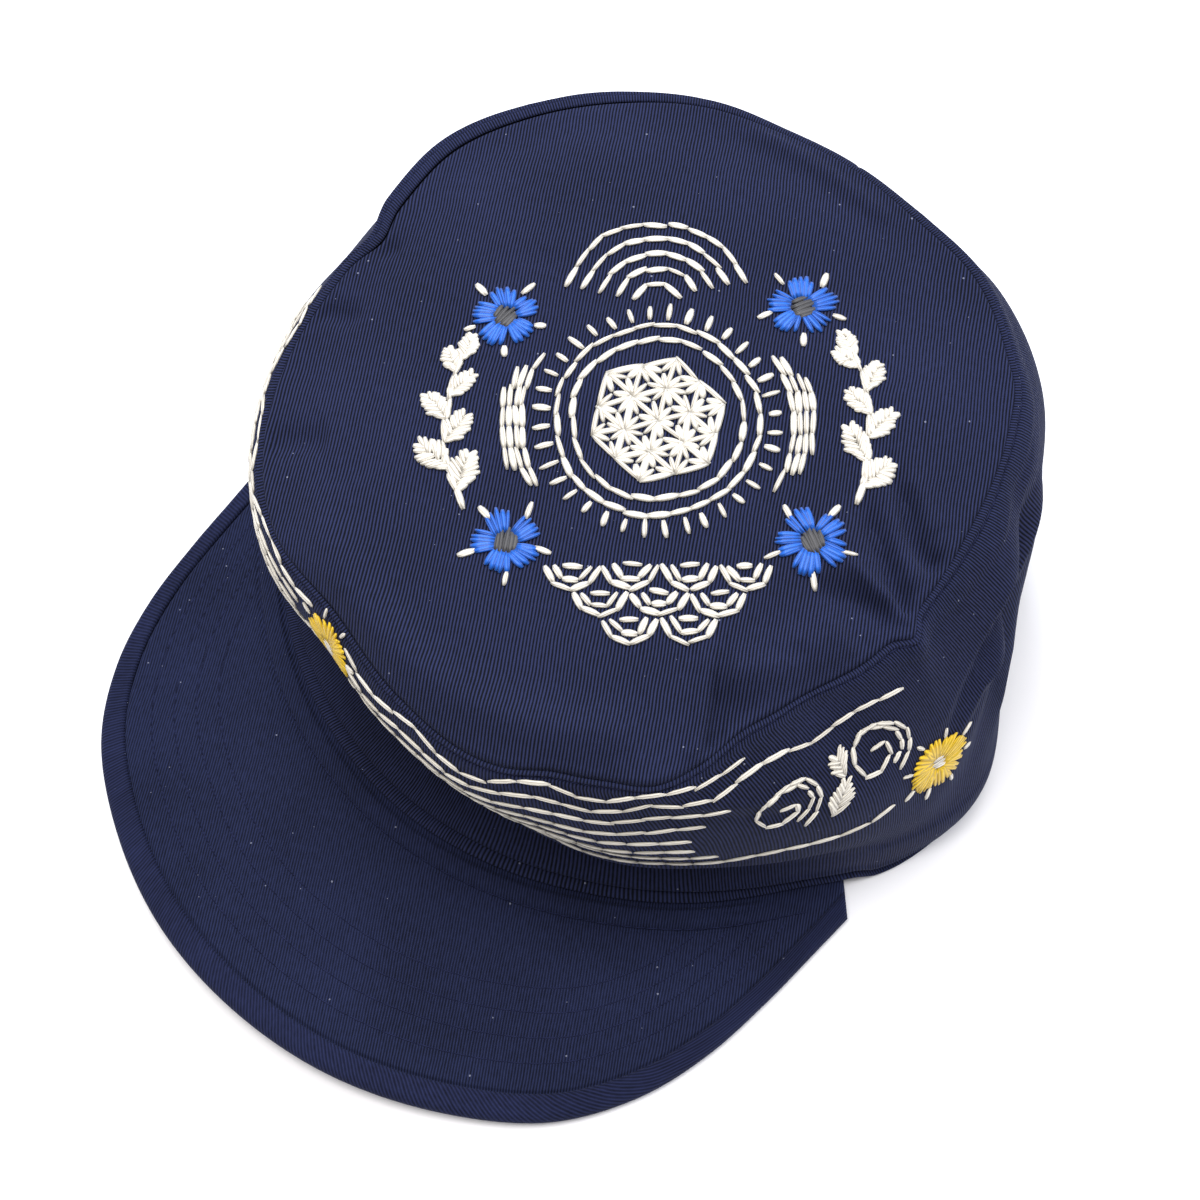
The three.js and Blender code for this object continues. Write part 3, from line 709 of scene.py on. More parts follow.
peak_u = end_to_end(PEAK_STATIONS)
edge_line, root_line = peak_line(peak_u)
peak_length = np.linalg.norm(edge_line - root_line, axis=-1)[:, None]
rim_insets = np.broadcast_to([BINDING_EDGE + SEWN_GAP, BINDING_WIDTH - 0.6], (len(peak_u), 2))
body_insets = BODY_INSET + (peak_length - BODY_INSET) * np.linspace(0, 1, PEAK_STEPS) ** STEP_GROWTH
side_insets = np.concatenate([rim_insets, body_insets], axis=1)
in_binding = np.arange(side_insets.shape[1]) < rim_insets.shape[1]
half = np.where(in_binding, PEAK_RIM_THICKNESS / 2, PEAK_THICKNESS / 2)
taper = end_taper(peak_u)[:, None]
peak_upper = peak_point(peak_u[:, None], side_insets, half * taper)
peak_upper[..., 2] += np.where(in_binding, 0, peak_relief(peak_upper, side_insets)) * taper
peak_lower = peak_point(peak_u[:, None], side_insets, -half * taper)
peak_lower[..., 2] += np.where(in_binding, 0, 0.1) * taper
peak_grid = np.concatenate([peak_upper, peak_lower[:, ::-1]], axis=1)
peak_cloth = np.concatenate([peak_grid, peak_grid[:, :1]], axis=1)[..., :2]
# The peak's drill colours: a painted highlight on the ribs and painted shade in the grooves.
peak_drill = cotton_drill(
    "navy_peak_drill", "#262d4f", "#0a0d1c", DRILL_TURN, rib_contrast=0.9, rib_pitch=0.62)
peak = cloth_piece("peak_cloth", peak_grid, peak_cloth, peak_drill, False, True)
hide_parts("peak")


# Binding of the peak.
# A strip of drill cut on the bias, folded over the rim of the peak and stitched down beside it.
# The strip is stretched as it goes round, so its ribs slowly turn from one end to the other.
BINDING_CLOTH = 0.7
STITCH_PITCH = 3.9
BINDING_HALF = PEAK_RIM_THICKNESS / 2 + SEWN_GAP + BINDING_CLOTH
BIAS = 45
BINDING_RIB_PLACES = (0, 0.15, 0.3, 0.5, 0.64, 0.72, 0.83, 1)
BINDING_RIB_TURNS = (132, 122, 85, 52, 47, 38, 10, -10)
BINDING_STATIONS = 420
BINDING_ROWS = 15
INSET_GROWTH = 1.6
INNER_FOLD = 0.3
RIM_ROUND = 1.9


def binding_section(u, inset, half_height):
    """Height of the binding's face above the middle of the peak, at an inset from its edge."""
    round_rim = np.sqrt(np.clip(1 - (1 - np.minimum(1, inset / RIM_ROUND)) ** 2, 0, 1))
    tuck = 0.6 * bell(inset - BINDING_WIDTH, 0.45)
    stitch_wave = np.sin(2 * np.pi * u * PEAK_EDGE_LENGTH / STITCH_PITCH)
    pucker = 0.05 * stitch_wave * bell(inset - BINDING_WIDTH, 1.8)
    return half_height * round_rim - tuck - pucker


binding_u = end_to_end(BINDING_STATIONS)
insets = BINDING_WIDTH * np.linspace(0, 1, BINDING_ROWS) ** INSET_GROWTH
fold_insets = np.concatenate([insets[::-1], insets[1:]])
fold_side = np.concatenate([np.ones(BINDING_ROWS), -np.ones(BINDING_ROWS - 1)])
binding_taper = end_taper(binding_u)[:, None]
outer_height = fold_side * binding_section(binding_u[:, None], fold_insets, BINDING_HALF) * binding_taper
binding_outer = peak_point(binding_u[:, None], fold_insets, outer_height)
apart = fold_insets > INNER_FOLD
inner_height = fold_side * (BINDING_HALF - BINDING_CLOTH) * binding_taper * apart
binding_inner = peak_point(binding_u[:, None], np.maximum(fold_insets, BINDING_EDGE), inner_height)
binding_grid = np.concatenate([binding_outer, binding_inner[:, ::-1]], axis=1)
round_fold = lengths_along(np.concatenate([binding_grid, binding_grid[:, :1]], axis=1))
rib_turns = np.radians(np.interp(binding_u, BINDING_RIB_PLACES, BINDING_RIB_TURNS))[:, None]
steps_along = np.diff(binding_u, prepend=0)[:, None] * PEAK_EDGE_LENGTH
bias_along = np.cumsum(np.sin(rib_turns) * steps_along, axis=0) / np.sin(np.radians(BIAS))
bias_across = round_fold * np.cos(rib_turns) / np.cos(np.radians(BIAS))
binding_cloth = np.stack(np.broadcast_arrays(bias_along, bias_across), axis=-1)
# The binding's drill colours: a painted highlight on the ribs and painted shade in the grooves.
binding_drill = cotton_drill("navy_bias_drill", "#262c4f", "#0c0f20", BIAS, rib_contrast=0.7)
binding = cloth_piece("peak_binding_cloth", binding_grid, binding_cloth, binding_drill, False, True)
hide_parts("peak_binding")


# Sewing thread.
# Navy thread in lock stitches: short ones along the top seam, the hem and the peak's seam, longer ones in
# rows over the peak. It is pulled just into the cloth, and each stitch dips in at both ends.
THREAD_WIDTH = 0.36
STITCH_LENGTH = 2.3
STITCH_GAP = 0.5
PEAK_STITCH_GAP = 0.7


def stitch_tree():
    """Geometry nodes that set one twisted stitch on each point of a mesh, along the point's direction."""
    tree = bpy.data.node_groups.new("stitches", "GeometryNodeTree")
    sockets = tree.interface
    sockets.new_socket("Geometry", in_out="OUTPUT", socket_type="NodeSocketGeometry")
    sockets.new_socket("Geometry", in_out="INPUT", socket_type="NodeSocketGeometry")
    for name in ("Thread width", "Thread height", "Arch", "Width variation"):
        sockets.new_socket(name, in_out="INPUT", socket_type="NodeSocketFloat")
    for name in ("Steps", "Sides", "Seed"):
        sockets.new_socket(name, in_out="INPUT", socket_type="NodeSocketInt")
    sockets.new_socket("Material", in_out="INPUT", socket_type="NodeSocketMaterial")
    given = tree.nodes.new("NodeGroupInput").outputs

    line = add_node(tree, "GeometryNodeCurvePrimitiveLine", inputs={
        "Start": (-0.5, 0, 0), "End": (0.5, 0, 0)})
    steps = add_node(tree, "GeometryNodeResampleCurve", inputs={"Curve": line, "Count": given["Steps"]})
    along = add_node(tree, "GeometryNodeSplineParameter").outputs["Factor"]
    off_middle = add_node(tree, "ShaderNodeMath", {"operation": "MULTIPLY_ADD"}, {0: along, 1: 2.0, 2: -1.0})
    squared = add_node(tree, "ShaderNodeMath", {"operation": "POWER"}, {0: off_middle, 1: 2.0})
    bow = add_node(tree, "ShaderNodeMath", {"operation": "SUBTRACT"}, {0: 0.7, 1: squared})
    arched = add_node(tree, "ShaderNodeMath", {"operation": "MULTIPLY"}, {0: bow, 1: given["Arch"]})
    rise = add_node(tree, "ShaderNodeCombineXYZ", inputs={"Z": arched})
    bent = add_node(tree, "GeometryNodeSetPosition", inputs={
        "Geometry": steps, "Offset": rise})
    fourth = add_node(tree, "ShaderNodeMath", {"operation": "POWER"}, {0: squared, 1: 2.0})
    blunt = add_node(tree, "ShaderNodeMath", {"operation": "SUBTRACT"}, {0: 1.02, 1: fourth})
    thick = add_node(tree, "ShaderNodeMath", {"operation": "SQRT"}, {0: blunt})
    held = add_node(tree, "GeometryNodeCaptureAttribute", inputs={"Geometry": bent})
    held.capture_items.new("FLOAT", "along")
    tree.links.new(along, held.inputs["along"])
    ring = add_node(tree, "GeometryNodeCurvePrimitiveCircle", inputs={
        "Resolution": given["Sides"], "Radius": 0.5})
    held_ring = add_node(tree, "GeometryNodeCaptureAttribute", inputs={"Geometry": ring})
    held_ring.capture_items.new("FLOAT", "round")
    ring_place = add_node(tree, "GeometryNodeSplineParameter").outputs["Factor"]
    tree.links.new(ring_place, held_ring.inputs["round"])
    tube = add_node(tree, "GeometryNodeCurveToMesh", inputs={
        "Curve": held.outputs["Geometry"], "Profile Curve": held_ring.outputs["Geometry"],
        "Scale": thick, "Fill Caps": True})
    thread = add_node(tree, "ShaderNodeCombineXYZ", inputs={
        "X": held.outputs["along"], "Y": held_ring.outputs["round"]})
    mapped = add_node(tree, "GeometryNodeStoreNamedAttribute", {"data_type": "FLOAT_VECTOR"}, {
        "Geometry": tube, "Name": "thread", "Value": thread})

    run, up = (
        add_node(tree, "GeometryNodeInputNamedAttribute", {"data_type": "FLOAT_VECTOR"}, {"Name": label})
        for label in ("run", "up"))
    lying = add_node(tree, "FunctionNodeAlignRotationToVector", {"axis": "X"}, {"Vector": run})
    facing = add_node(tree, "FunctionNodeAlignRotationToVector", {"axis": "Z", "pivot_axis": "X"}, {
        "Rotation": lying, "Vector": up})
    length = add_node(tree, "ShaderNodeVectorMath", {"operation": "LENGTH"}, {0: run})
    chance = add_node(tree, "FunctionNodeRandomValue", {"data_type": "FLOAT"}, {
        "Min": -1.0, "Max": 1.0, "Seed": given["Seed"]})
    vary = add_node(tree, "ShaderNodeMath", {"operation": "MULTIPLY_ADD"}, {
        0: chance.outputs["Value"], 1: given["Width variation"], 2: 1.0})
    wide = add_node(tree, "ShaderNodeMath", {"operation": "MULTIPLY"}, {
        0: vary, 1: given["Thread width"]})
    size = add_node(tree, "ShaderNodeCombineXYZ", inputs={
        "X": length.outputs["Value"], "Y": wide, "Z": given["Thread height"]})
    shaded = add_node(tree, "GeometryNodeStoreNamedAttribute", {"data_type": "FLOAT"}, {
        "Geometry": given["Geometry"], "Name": "shade", "Value": chance.outputs["Value"]})
    placed = add_node(tree, "GeometryNodeInstanceOnPoints", inputs={
        "Points": shaded, "Instance": mapped,
        "Rotation": facing, "Scale": size})
    real = add_node(tree, "GeometryNodeRealizeInstances", inputs={"Geometry": placed})
    smooth = add_node(tree, "GeometryNodeSetShadeSmooth", inputs={"Geometry": real})
    dressed = add_node(tree, "GeometryNodeSetMaterial", inputs={
        "Geometry": smooth, "Material": given["Material"]})
    add_node(tree, "NodeGroupOutput", inputs={"Geometry": dressed})
    return tree


stitches = stitch_tree()


def sew(name, runs, material, slot, seed, **sizes):
    """Makes one piece of many stitches. A run holds their middles, directions with lengths, and ways up."""
    middles, directions, ups = (np.concatenate(parts) for parts in zip(*runs))
    mesh = bpy.data.meshes.new(name)
    mesh.from_pydata(((middles + np.array(CROWN_AXIS)) * MM).tolist(), [], [])
    for label, values in (("run", directions * MM), ("up", ups)):
        attribute = mesh.attributes.new(label, "FLOAT_VECTOR", "POINT")
        attribute.data.foreach_set("vector", values.ravel())
    guide = bpy.data.objects.new(name + "_guide", mesh)
    bpy.context.collection.objects.link(guide)
    modifier = guide.modifiers.new("stitches", "NODES")
    modifier.node_group = stitches
    values = {"Seed": seed, "Material": material} | sizes
    for item in stitches.interface.items_tree:
        if item.in_out == "INPUT" and item.name in values:
            modifier[item.identifier] = values[item.name]
    evaluated = guide.evaluated_get(bpy.context.evaluated_depsgraph_get())
    sewn = bpy.data.meshes.new_from_object(evaluated)
    bpy.data.objects.remove(guide)
    piece = bpy.data.objects.new(name, sewn)
    bpy.context.collection.objects.link(piece)
    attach(piece, "root")
    return piece


def facing_up(surface, first, second, steps):
    """Ways up from a surface of two coordinates."""
    along = surface(first + steps[0], second) - surface(first - steps[0], second)
    beside = surface(first, second + steps[1]) - surface(first, second - steps[1])
    way = np.cross(along, beside)
    return way / np.linalg.norm(way, axis=-1, keepdims=True)


def stitch_spans(path, lengths, length, gap):
    """Starts and ends of stitches of about that length along a path, from how far along its points are."""
    count = max(1, int(round((lengths[-1] + gap) / (length + gap))))
    pitch = (lengths[-1] + gap) / count
    starts = np.arange(count) * pitch
    return [np.stack([np.interp(goal, lengths, column) for column in path.T], axis=-1)
            for goal in (starts, starts + pitch - gap)]


def laid_on(surface, steps, starts, ends, lift=0.0):
    """Stitches from starts to ends, in a surface's own two coordinates, laid on that surface."""
    first = surface(starts[:, 0], starts[:, 1])
    last = surface(ends[:, 0], ends[:, 1])
    middle = (starts + ends) / 2
    ups = facing_up(surface, middle[:, 0], middle[:, 1], steps)
    return (first + last) / 2 + ups * lift, last - first, ups


def sewn_line(surface, steps, first, second, length=STITCH_LENGTH, gap=STITCH_GAP, lift=-0.06):
    """A line of stitches over a surface, where first and second are its coordinates along the line."""
    path = np.stack([first, second], axis=-1)
    spans = stitch_spans(path, lengths_along(surface(first, second)), length, gap)
    return laid_on(surface, steps, *spans, lift=lift)


def thread_material(name, colour, shadow_colour, roughness, strands=5, gleam=0.4, sheen=0.1):
    """Cotton thread: slightly twisted strands with a soft gleam, with painted shade between them and where
    they dip in.
    """
    material, tree, shader = new_material(name)
    place = add_node(tree, "ShaderNodeAttribute", {"attribute_name": "thread"}).outputs["Vector"]
    shade = add_node(tree, "ShaderNodeAttribute", {"attribute_name": "shade"}).outputs["Fac"]
    split = add_node(tree, "ShaderNodeSeparateXYZ", inputs={0: place})
    twist = add_node(tree, "ShaderNodeMath", {"operation": "MULTIPLY"}, {0: split.outputs["X"], 1: 0.6})
    twisted = add_node(tree, "ShaderNodeMath", {"operation": "MULTIPLY_ADD"}, {
        0: split.outputs["Y"], 1: float(strands), 2: twist})
    strand = ridges(tree, twisted, 0.4)
    off_middle = add_node(tree, "ShaderNodeMath", {"operation": "MULTIPLY_ADD"}, {
        0: split.outputs["X"], 1: 2.0, 2: -1.0})
    # Painted shade at both ends of each stitch, where it dips into the cloth.
    end = add_node(tree, "ShaderNodeMath", {"operation": "POWER"}, {0: off_middle, 1: 6.0})
    # Painted highlight along each strand and painted shade between the strands.
    lit = add_node(tree, "ShaderNodeMath", {"operation": "MULTIPLY_ADD"}, {
        0: strand, 1: 0.55, 2: 0.42})
    varied = add_node(tree, "ShaderNodeMath", {"operation": "MULTIPLY_ADD"}, {
        0: shade, 1: 0.14, 2: lit})
    tone = add_node(tree, "ShaderNodeMath", {"operation": "MULTIPLY_ADD", "use_clamp": True}, {
        0: end, 1: -0.7, 2: varied})
    colours = add_node(tree, "ShaderNodeMix", {"data_type": "RGBA"}, {
        "Factor": tone, 6: srgb(shadow_colour), 7: srgb(colour)})
    bump = add_node(tree, "ShaderNodeBump", inputs={
        "Height": strand, "Strength": 0.5, "Distance": 0.12 * MM})
    fill_inputs(tree, shader, {
        "Base Color": colours.outputs[2], "Normal": bump,
        "Roughness": roughness, "Specular IOR Level": gleam, "Sheen Weight": sheen})
    return material


DEGREE = (0.4, 0.01)
MILLIMETRE = (0.4, 0.4)
PEAK_SHARE = (0.002, 0.4)


def band_lines():
    """Stitching along the top seam and the hem."""
    turns = np.linspace(0, 360, 1441)
    for rise in (1 - SEAM_STITCH_DEPTH / band_length(turns), HEM_STITCH_HEIGHT / band_length(turns)):
        yield sewn_line(band_point, DEGREE, turns, rise)


def peak_top(u, inset):
    """Points of the peak's upper cloth."""
    point = peak_point(u, inset, PEAK_THICKNESS / 2)
    point[..., 2] += peak_relief(point, inset)
    return point


def peak_place(turn, out):
    """How far along the peak's edge places are, and their inset, from their turn and distance out."""
    u = np.linspace(0, 1, 400)[None, :]
    edge, root = peak_line(u)
    places = polar(turn, out, 0.0)[:, None, :]
    across = root - edge
    length = np.linalg.norm(across, axis=-1)
    inset = ((places - edge) * across).sum(axis=-1) / length
    miss = np.linalg.norm(places - edge - across * (inset / length)[..., None], axis=-1)
    nearest = miss.argmin(axis=1)
    return u[0, nearest], inset[np.arange(len(turn)), nearest]


def peak_lines():
    """Stitching over the peak, each row as far as the band's allowance, and the seam beside it."""
    u = np.linspace(0.01, 0.99, 900)
    for inset in PEAK_ROWS:
        point = peak_point(u, inset)
        turn = np.degrees(np.arctan2(point[:, 0], -point[:, 1]))
        shown = u[np.hypot(point[:, 0], point[:, 1]) > band_column("hem", turn) + PEAK_SEAM_LINE + 1.5]
        yield sewn_line(
            peak_top, PEAK_SHARE, shown, np.full_like(shown, inset),
            STITCH_PITCH - PEAK_STITCH_GAP, PEAK_STITCH_GAP, lift=-0.15)
    turn = np.linspace(-60, 60, 400)
    out = band_column("hem", turn) + PEAK_SEAM_LINE
    u, inset = peak_place(turn, out)
    yield sewn_line(peak_top, PEAK_SHARE, u, inset)


navy_thread = thread_material(
    "navy_sewing_thread", "#262b4b", "#05060f", 0.8, strands=3, gleam=0.1, sheen=0.0)
sew("seam_stitching", [*band_lines(), *peak_lines()], navy_thread, "seam_thread", 11, **{
    "Thread width": THREAD_WIDTH * MM, "Thread height": THREAD_WIDTH * 0.8 * MM,
    "Arch": 0.7, "Width variation": 0.1, "Steps": 5, "Sides": 6})


# Embroidery.
# Worked by hand in stranded cotton over the top panel and round the band: rings, arches, wave scales, wavy
# rows and curls in running stitch, leaves in satin stitch, a hemp-leaf lattice, and blue and yellow flowers.
FLOSS_WIDTH = 1.3
BAND_FLOSS_WIDTH = 1.08
FLOSS_HEIGHT = 0.62
FLOSS_STITCH = 4.0
FLOSS_GAP = 0.45
SATIN_PITCH = 1.0
FILL_PITCH = 1.3
WANDER_SIZE = 16
LINE_WANDER = 0.3
END_WANDER = 0.17
FLOSS_LIFT = 0.08
TOP_DESIGN_TURN = 39
TOP_DESIGN_PLACE = (5, -6)
BAND_MM_PER_DEGREE = 1.45


def running(path, length=FLOSS_STITCH, gap=FLOSS_GAP):
    """Running stitches along a flat path, as pairs of ends."""
    return np.stack(stitch_spans(path, lengths_along(path), length, gap), axis=1)


def arc(centre, radius, start, end):
    """A flat arc between two angles in degrees."""
    angles = np.radians(np.linspace(start, end, 80))
    return np.array(centre) + radius * np.stack([np.cos(angles), np.sin(angles)], axis=-1)


def spiral(centre, outer, inner, start, end):
    """A flat spiral between two angles in degrees."""
    angles = np.radians(np.linspace(start, end, 120))
    reach = np.linspace(outer, inner, 120)[:, None]
    return np.array(centre) + reach * np.stack([np.cos(angles), np.sin(angles)], axis=-1)


def moved(stitches_made, angle=0.0, place=(0.0, 0.0), size=1.0):
    """Stitches turned about the origin by degrees, sized, and then moved."""
    turn = np.radians(angle)
    spin = np.array([[np.cos(turn), np.sin(turn)], [-np.sin(turn), np.cos(turn)]])
    return stitches_made @ spin * size + np.array(place)


def leaf(length, width):
    """A leaf in fishbone satin stitch, pointing along the first axis."""
    places = np.arange(0.8, length - 0.6, SATIN_PITCH)
    share = places / length
    half_width = width / 2 * np.sin(np.pi * share ** 0.75) + 0.35
    made = []
    for side in (1, -1):
        inner = np.stack([places - 0.9, np.full_like(places, 0.1 * side)], axis=-1)
        outer = np.stack([places + 1.1, half_width * side], axis=-1)
        made.append(np.stack([inner, outer], axis=1))
    return np.concatenate(made)


def leafy_branch(path, leaf_length, leaf_width, pitch, spread=38):
    """A stem in running stitch with leaves on alternate sides, smaller towards the tip, and one there."""
    lengths = lengths_along(path)
    made = [running(path)]
    places = np.arange(pitch * 0.7, lengths[-1] - 1, pitch)
    for k, place in enumerate(places):
        here, ahead = (
            np.array([np.interp(place + step, lengths, column) for column in path.T])
            for step in (0, 0.5))
        heading = np.degrees(np.arctan2(*(ahead - here)[::-1]))
        size = 1 - 0.35 * place / lengths[-1]
        side = 1 if k % 2 else -1
        made.append(moved(leaf(leaf_length, leaf_width), heading + side * spread, here, size))
    last = path[-1] - path[-2]
    heading = np.degrees(np.arctan2(last[1], last[0]))
    made.append(moved(leaf(leaf_length, leaf_width), heading, path[-1], 0.7))
    return np.concatenate(made)


def hemp_leaf(side, rings):
    """A hexagon of the traditional hemp-leaf lattice: triangles with three spokes in each."""
    first = np.array([side, 0.0])
    second = np.array([side / 2, side * np.sqrt(3) / 2])
    span = range(-rings, rings + 1)
    points = {(i, j): i * first + j * second for i in span for j in span if abs(i + j) <= rings}
    made = []
    for (i, j), point in points.items():
        for step in ((1, 0), (0, 1), (-1, 1)):
            other = points.get((i + step[0], j + step[1]))
            if other is not None:
                made.append((point, other))
        for steps in (((1, 0), (0, 1)), ((0, 1), (-1, 1))):
            others = [points.get((i + a, j + b)) for a, b in steps]
            if all(other is not None for other in others):
                middle = (point + others[0] + others[1]) / 3
                made.extend((corner, middle) for corner in (point, *others))
    ends = np.array(made)
    inset = (ends[:, 1] - ends[:, 0]) / np.linalg.norm(ends[:, 1] - ends[:, 0], axis=1)[:, None] * 0.5
    return np.stack([ends[:, 0] + inset, ends[:, 1] - inset], axis=1)


def wave_scales(row_sizes, radius):
    """Overlapping rows of traditional wave scales, each of three arcs, one row above the other."""
    made = []
    for row, count in enumerate(row_sizes):
        for column in range(count):
            centre = ((column - (count - 1) / 2) * 2 * radius, row * radius * 0.98)
            for share in (1.0, 0.68, 0.36):
                made.append(running(arc(centre, radius * share - 0.5, 172, 8), 3.4, 0.4))
    return np.concatenate(made)


def crescent(radius, half_angle, rows, narrowing):
    """A crescent filled with close rows of stitches, set like bricks, about the first axis."""
    made = []
    for row in range(rows):
        reach = half_angle - narrowing * row
        shift = 4 if row % 2 else 0
        line = arc((0, 0), radius + FILL_PITCH * row, -reach + shift, reach - 4 + shift)
        made.append(running(line, 4.2, 0.3))
    return np.concatenate(made)


def petals(count, inner, outer, width, threads):
    """Flower petals, each of a few long stitches side by side."""
    made = []
    for k in range(count):
        for across in np.linspace(-1, 1, threads):
            reach = outer - 0.9 * across ** 2
            petal = np.array([[[inner, across * width * 0.28], [reach, across * width / 2]]])
            made.append(moved(petal, k * 360 / count + 90))
    return np.concatenate(made)


def seeds(count, inner, outer, turn):
    """Single stitches that stand out round a flower or a ring."""
    ray = np.array([[[inner, 0.0], [outer, 0.0]]])
    return np.concatenate([moved(ray, turn + k * 360 / count) for k in range(count)])


def flower_heart(radius, threads):
    """A round heart of parallel stitches."""
    across = np.linspace(-radius + 0.6, radius - 0.6, threads)
    half_length = np.sqrt(radius ** 2 - across ** 2)
    return np.stack([np.stack([-half_length, across], -1), np.stack([half_length, across], -1)], axis=1)


def hand_made(made, seed):
    """The unevenness of hand stitching: lines that wander a little, and ends a little off them."""
    draw = np.random.default_rng(seed)
    flat = np.concatenate([made, np.zeros_like(made[..., :1])], axis=-1)
    wander = np.stack([ripples(flat, WANDER_SIZE, seed), ripples(flat, WANDER_SIZE, seed + 100)], axis=-1)
    return made + LINE_WANDER * wander + draw.normal(0, END_WANDER, made.shape)


FLOWER_PLACES = ((30, 26), (-31, 24), (-30, -25), (30, -26))
top_white = [
    moved(hemp_leaf(6.9, 2), 15),
    running(arc((0, 0), 17.4, 0, 357)),
    running(arc((0, 0), 20.6, 5, 362)),
    seeds(36, 22.2, 25.0, 3),
    *(running(arc((0, 26), radius, 16, 164)) for radius in (5.0, 8.6, 12.2, 15.8, 19.4)),
    moved(wave_scales((4, 3, 2), 5.6), 180, (0, -30.5)),
    *(moved(crescent(27.5, 34, 4, 5.5), turn) for turn in (0, 180)),
    leafy_branch(arc((0, 0), 42.5, -24, 20), 9.0, 4.8, 5.2),
    leafy_branch(arc((0, 0), 42.5, 204, 160), 9.0, 4.8, 5.2),
    *(moved(seeds(5, 6.6, 9.2, 54), 0, place) for place in FLOWER_PLACES),
]
top_blue = [moved(petals(5, 2.3, 6.7, 4.4, 5), 8 * k, place) for k, place in enumerate(FLOWER_PLACES)]
top_grey = [moved(flower_heart(2.4, 5), 20 + 30 * k, place) for k, place in enumerate(FLOWER_PLACES)]

CURL_PITCH = 25
CURL_LEVEL = -23
BAND_FLOWERS = ((-20, -10.5), (116, -38))
CURLS_ALONG = (81, 103)
FRONT_ROWS = (
    dict(level=-4.6, end=74),
    dict(level=-8.4, end=112),
    dict(level=-12.4, end=70),
    dict(level=-16.8, end=65),
    dict(level=-21.6, end=62),
    dict(level=-27.0, end=63),
    dict(level=-32.5, end=68),
    dict(level=-38.5, end=104),
)
ROWS_START = -104
ROW_STITCH = 5.0
ROW_GAP = 0.8
BAND_LEAVES = (
    dict(length=7.6, width=4.2, turn=62, along=10.5, level=-31),
    dict(length=6.2, width=3.6, turn=96, along=13.5, level=-23),
)


def wavy(row):
    """A wavy line along the band, below the top seam. It climbs towards the wearer's right."""
    along = np.linspace(ROWS_START, row["end"], 500)
    climb = 1 - 0.32 * ease(-along, 5, 60)
    wave = 1.2 * np.sin(along / CURL_PITCH * 2 * np.pi)
    return np.stack([along, row["level"] * climb - 2.5 * ease(along, 66, 84) + wave], axis=-1)


def clear_of(made, places, reach):
    """Those stitches that keep away from places."""
    away = [np.linalg.norm(made.mean(axis=1) - place, axis=-1) > reach for place in places]
    return made[np.all(away, axis=0)]


band_white = [
    *(clear_of(running(wavy(row), ROW_STITCH, ROW_GAP), BAND_FLOWERS, 9.5) for row in FRONT_ROWS),
    *(running(spiral((place, CURL_LEVEL), 8.8, 1.4, -60, 480), 3.4) for place in CURLS_ALONG),
    *(running(arc((place, CURL_LEVEL), 6.2, 300, 480), 3.0) for place in CURLS_ALONG),
    *(moved(leaf(part["length"], part["width"]), part["turn"], (place + part["along"], part["level"]))
      for place in CURLS_ALONG[:-1] for part in BAND_LEAVES),
    *(moved(seeds(8, 7.4, 9.6, 22), 0, place) for place in BAND_FLOWERS),
    *(moved(flower_heart(1.9, 3), 0, place) for place in BAND_FLOWERS),
]
band_yellow = [moved(petals(8, 1.8, 6.9, 4.6, 5), 0, place) for place in BAND_FLOWERS]


def band_design_point(along, above):
    """Points on the band from a flat design: how far along it from the front, and above the top seam."""
    turn = along / BAND_MM_PER_DEGREE
    return band_point(turn, 1 + above / band_length(turn))


def on_top(made, seed):
    """Stitches of the top panel's flat design, laid on it."""
    flat = moved(hand_made(np.concatenate(made), seed), TOP_DESIGN_TURN, TOP_DESIGN_PLACE)
    return laid_on(top_point, MILLIMETRE, flat[:, 0], flat[:, 1], lift=FLOSS_LIFT)


def on_band(made, seed):
    """Stitches of the band's flat design, laid on it."""
    flat = hand_made(np.concatenate(made), seed)
    return laid_on(band_design_point, MILLIMETRE, flat[:, 0], flat[:, 1], lift=FLOSS_LIFT)


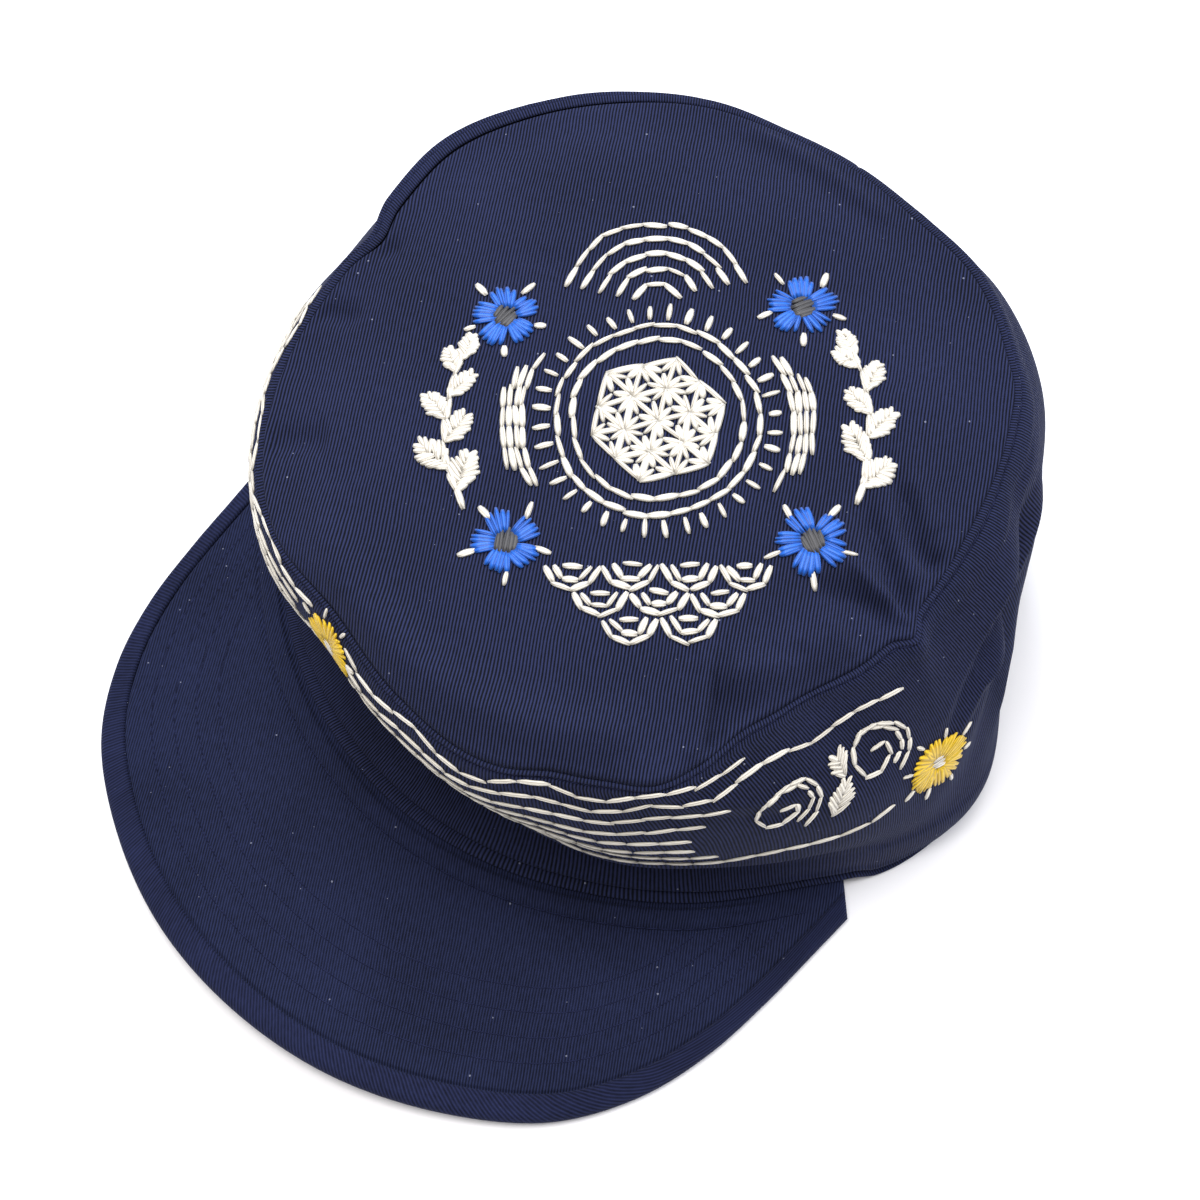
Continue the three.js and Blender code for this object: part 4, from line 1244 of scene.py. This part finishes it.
FLOSS = {
    "Thread width": FLOSS_WIDTH * MM, "Thread height": FLOSS_HEIGHT * MM,
    "Arch": 0.5, "Width variation": 0.22, "Steps": 6, "Sides": 6}
off_white = thread_material("off_white_stranded_cotton", "#f1ebdf", "#85796a", 0.5, sheen=0.2)
blue = thread_material("blue_stranded_cotton", "#1f66d0", "#0a2560", 0.45)
grey = thread_material("dark_grey_stranded_cotton", "#4e4d50", "#1f1f22", 0.5)
yellow = thread_material("yellow_stranded_cotton", "#f3cb22", "#8d640a", 0.45)
sew("embroidery_off_white", [on_top(top_white, 21)], off_white, "off_white_floss", 31, **FLOSS)
sew("band_embroidery_off_white", [on_band(band_white, 22)], off_white, "off_white_floss", 35, **(
    FLOSS | {"Thread width": BAND_FLOSS_WIDTH * MM}))
sew("embroidery_blue", [on_top(top_blue, 23)], blue, "blue_floss", 32, **FLOSS)
sew("embroidery_grey", [on_top(top_grey, 24)], grey, "grey_floss", 33, **FLOSS)
sew("embroidery_yellow", [on_band(band_yellow, 25)], yellow, "yellow_floss", 34, **FLOSS)


# Floor and light.
# A white table, so bright that only soft shade beside the cap shows on it. Soft daylight comes from above,
# from a window beyond the cap, and from a pale far wall at the right of the picture.
FLOOR_HALF = 3.0
FLOOR_HEIGHT = -0.05 * MM
floor_corners = [
    (x * FLOOR_HALF, y * FLOOR_HALF, FLOOR_HEIGHT) for x, y in ((-1, -1), (1, -1), (1, 1), (-1, 1))]
floor_mesh = bpy.data.meshes.new("floor")
floor_mesh.from_pydata(floor_corners, [], [(0, 1, 2, 3)])
floor = bpy.data.objects.new("floor", floor_mesh)
bpy.context.collection.objects.link(floor)
white_table, table_tree, table_shader = new_material("white_table")
fill_inputs(table_tree, table_shader, {
    "Base Color": srgb("#f4f3f6"), "Roughness": 0.7,
    "Emission Color": srgb("#fdfbff"), "Emission Strength": 0.06})
floor_mesh.materials.append(white_table)

world = bpy.data.worlds.new("studio")
world.use_nodes = True
world.node_tree.nodes["Background"].inputs["Color"].default_value = (1.0, 1.0, 1.0, 1.0)
world.node_tree.nodes["Background"].inputs["Strength"].default_value = 0.26
bpy.context.scene.world = world
bpy.context.scene.view_settings.view_transform = "Standard"


def soft_light(name, colour, place, size, power):
    """A square soft light that faces the cap, its place and size in metres and its power in watts."""
    light = bpy.data.lights.new(name, "AREA")
    light.size = size
    light.energy = power
    light.color = srgb(colour)[:3]
    lamp = bpy.data.objects.new(name, light)
    lamp.location = place
    lamp.rotation_euler = Vector(place).to_track_quat("Z", "Y").to_euler()
    bpy.context.collection.objects.link(lamp)


soft_light("window", "#edf5ff", place=(-0.65, 0.45, 0.85), size=0.5, power=8.5)
soft_light("ceiling", "#fffdfa", place=(-0.15, -0.12, 1.5), size=0.9, power=22)
soft_light("far_wall", "#f2f7ff", place=(0.65, 0.8, 0.8), size=0.7, power=8)
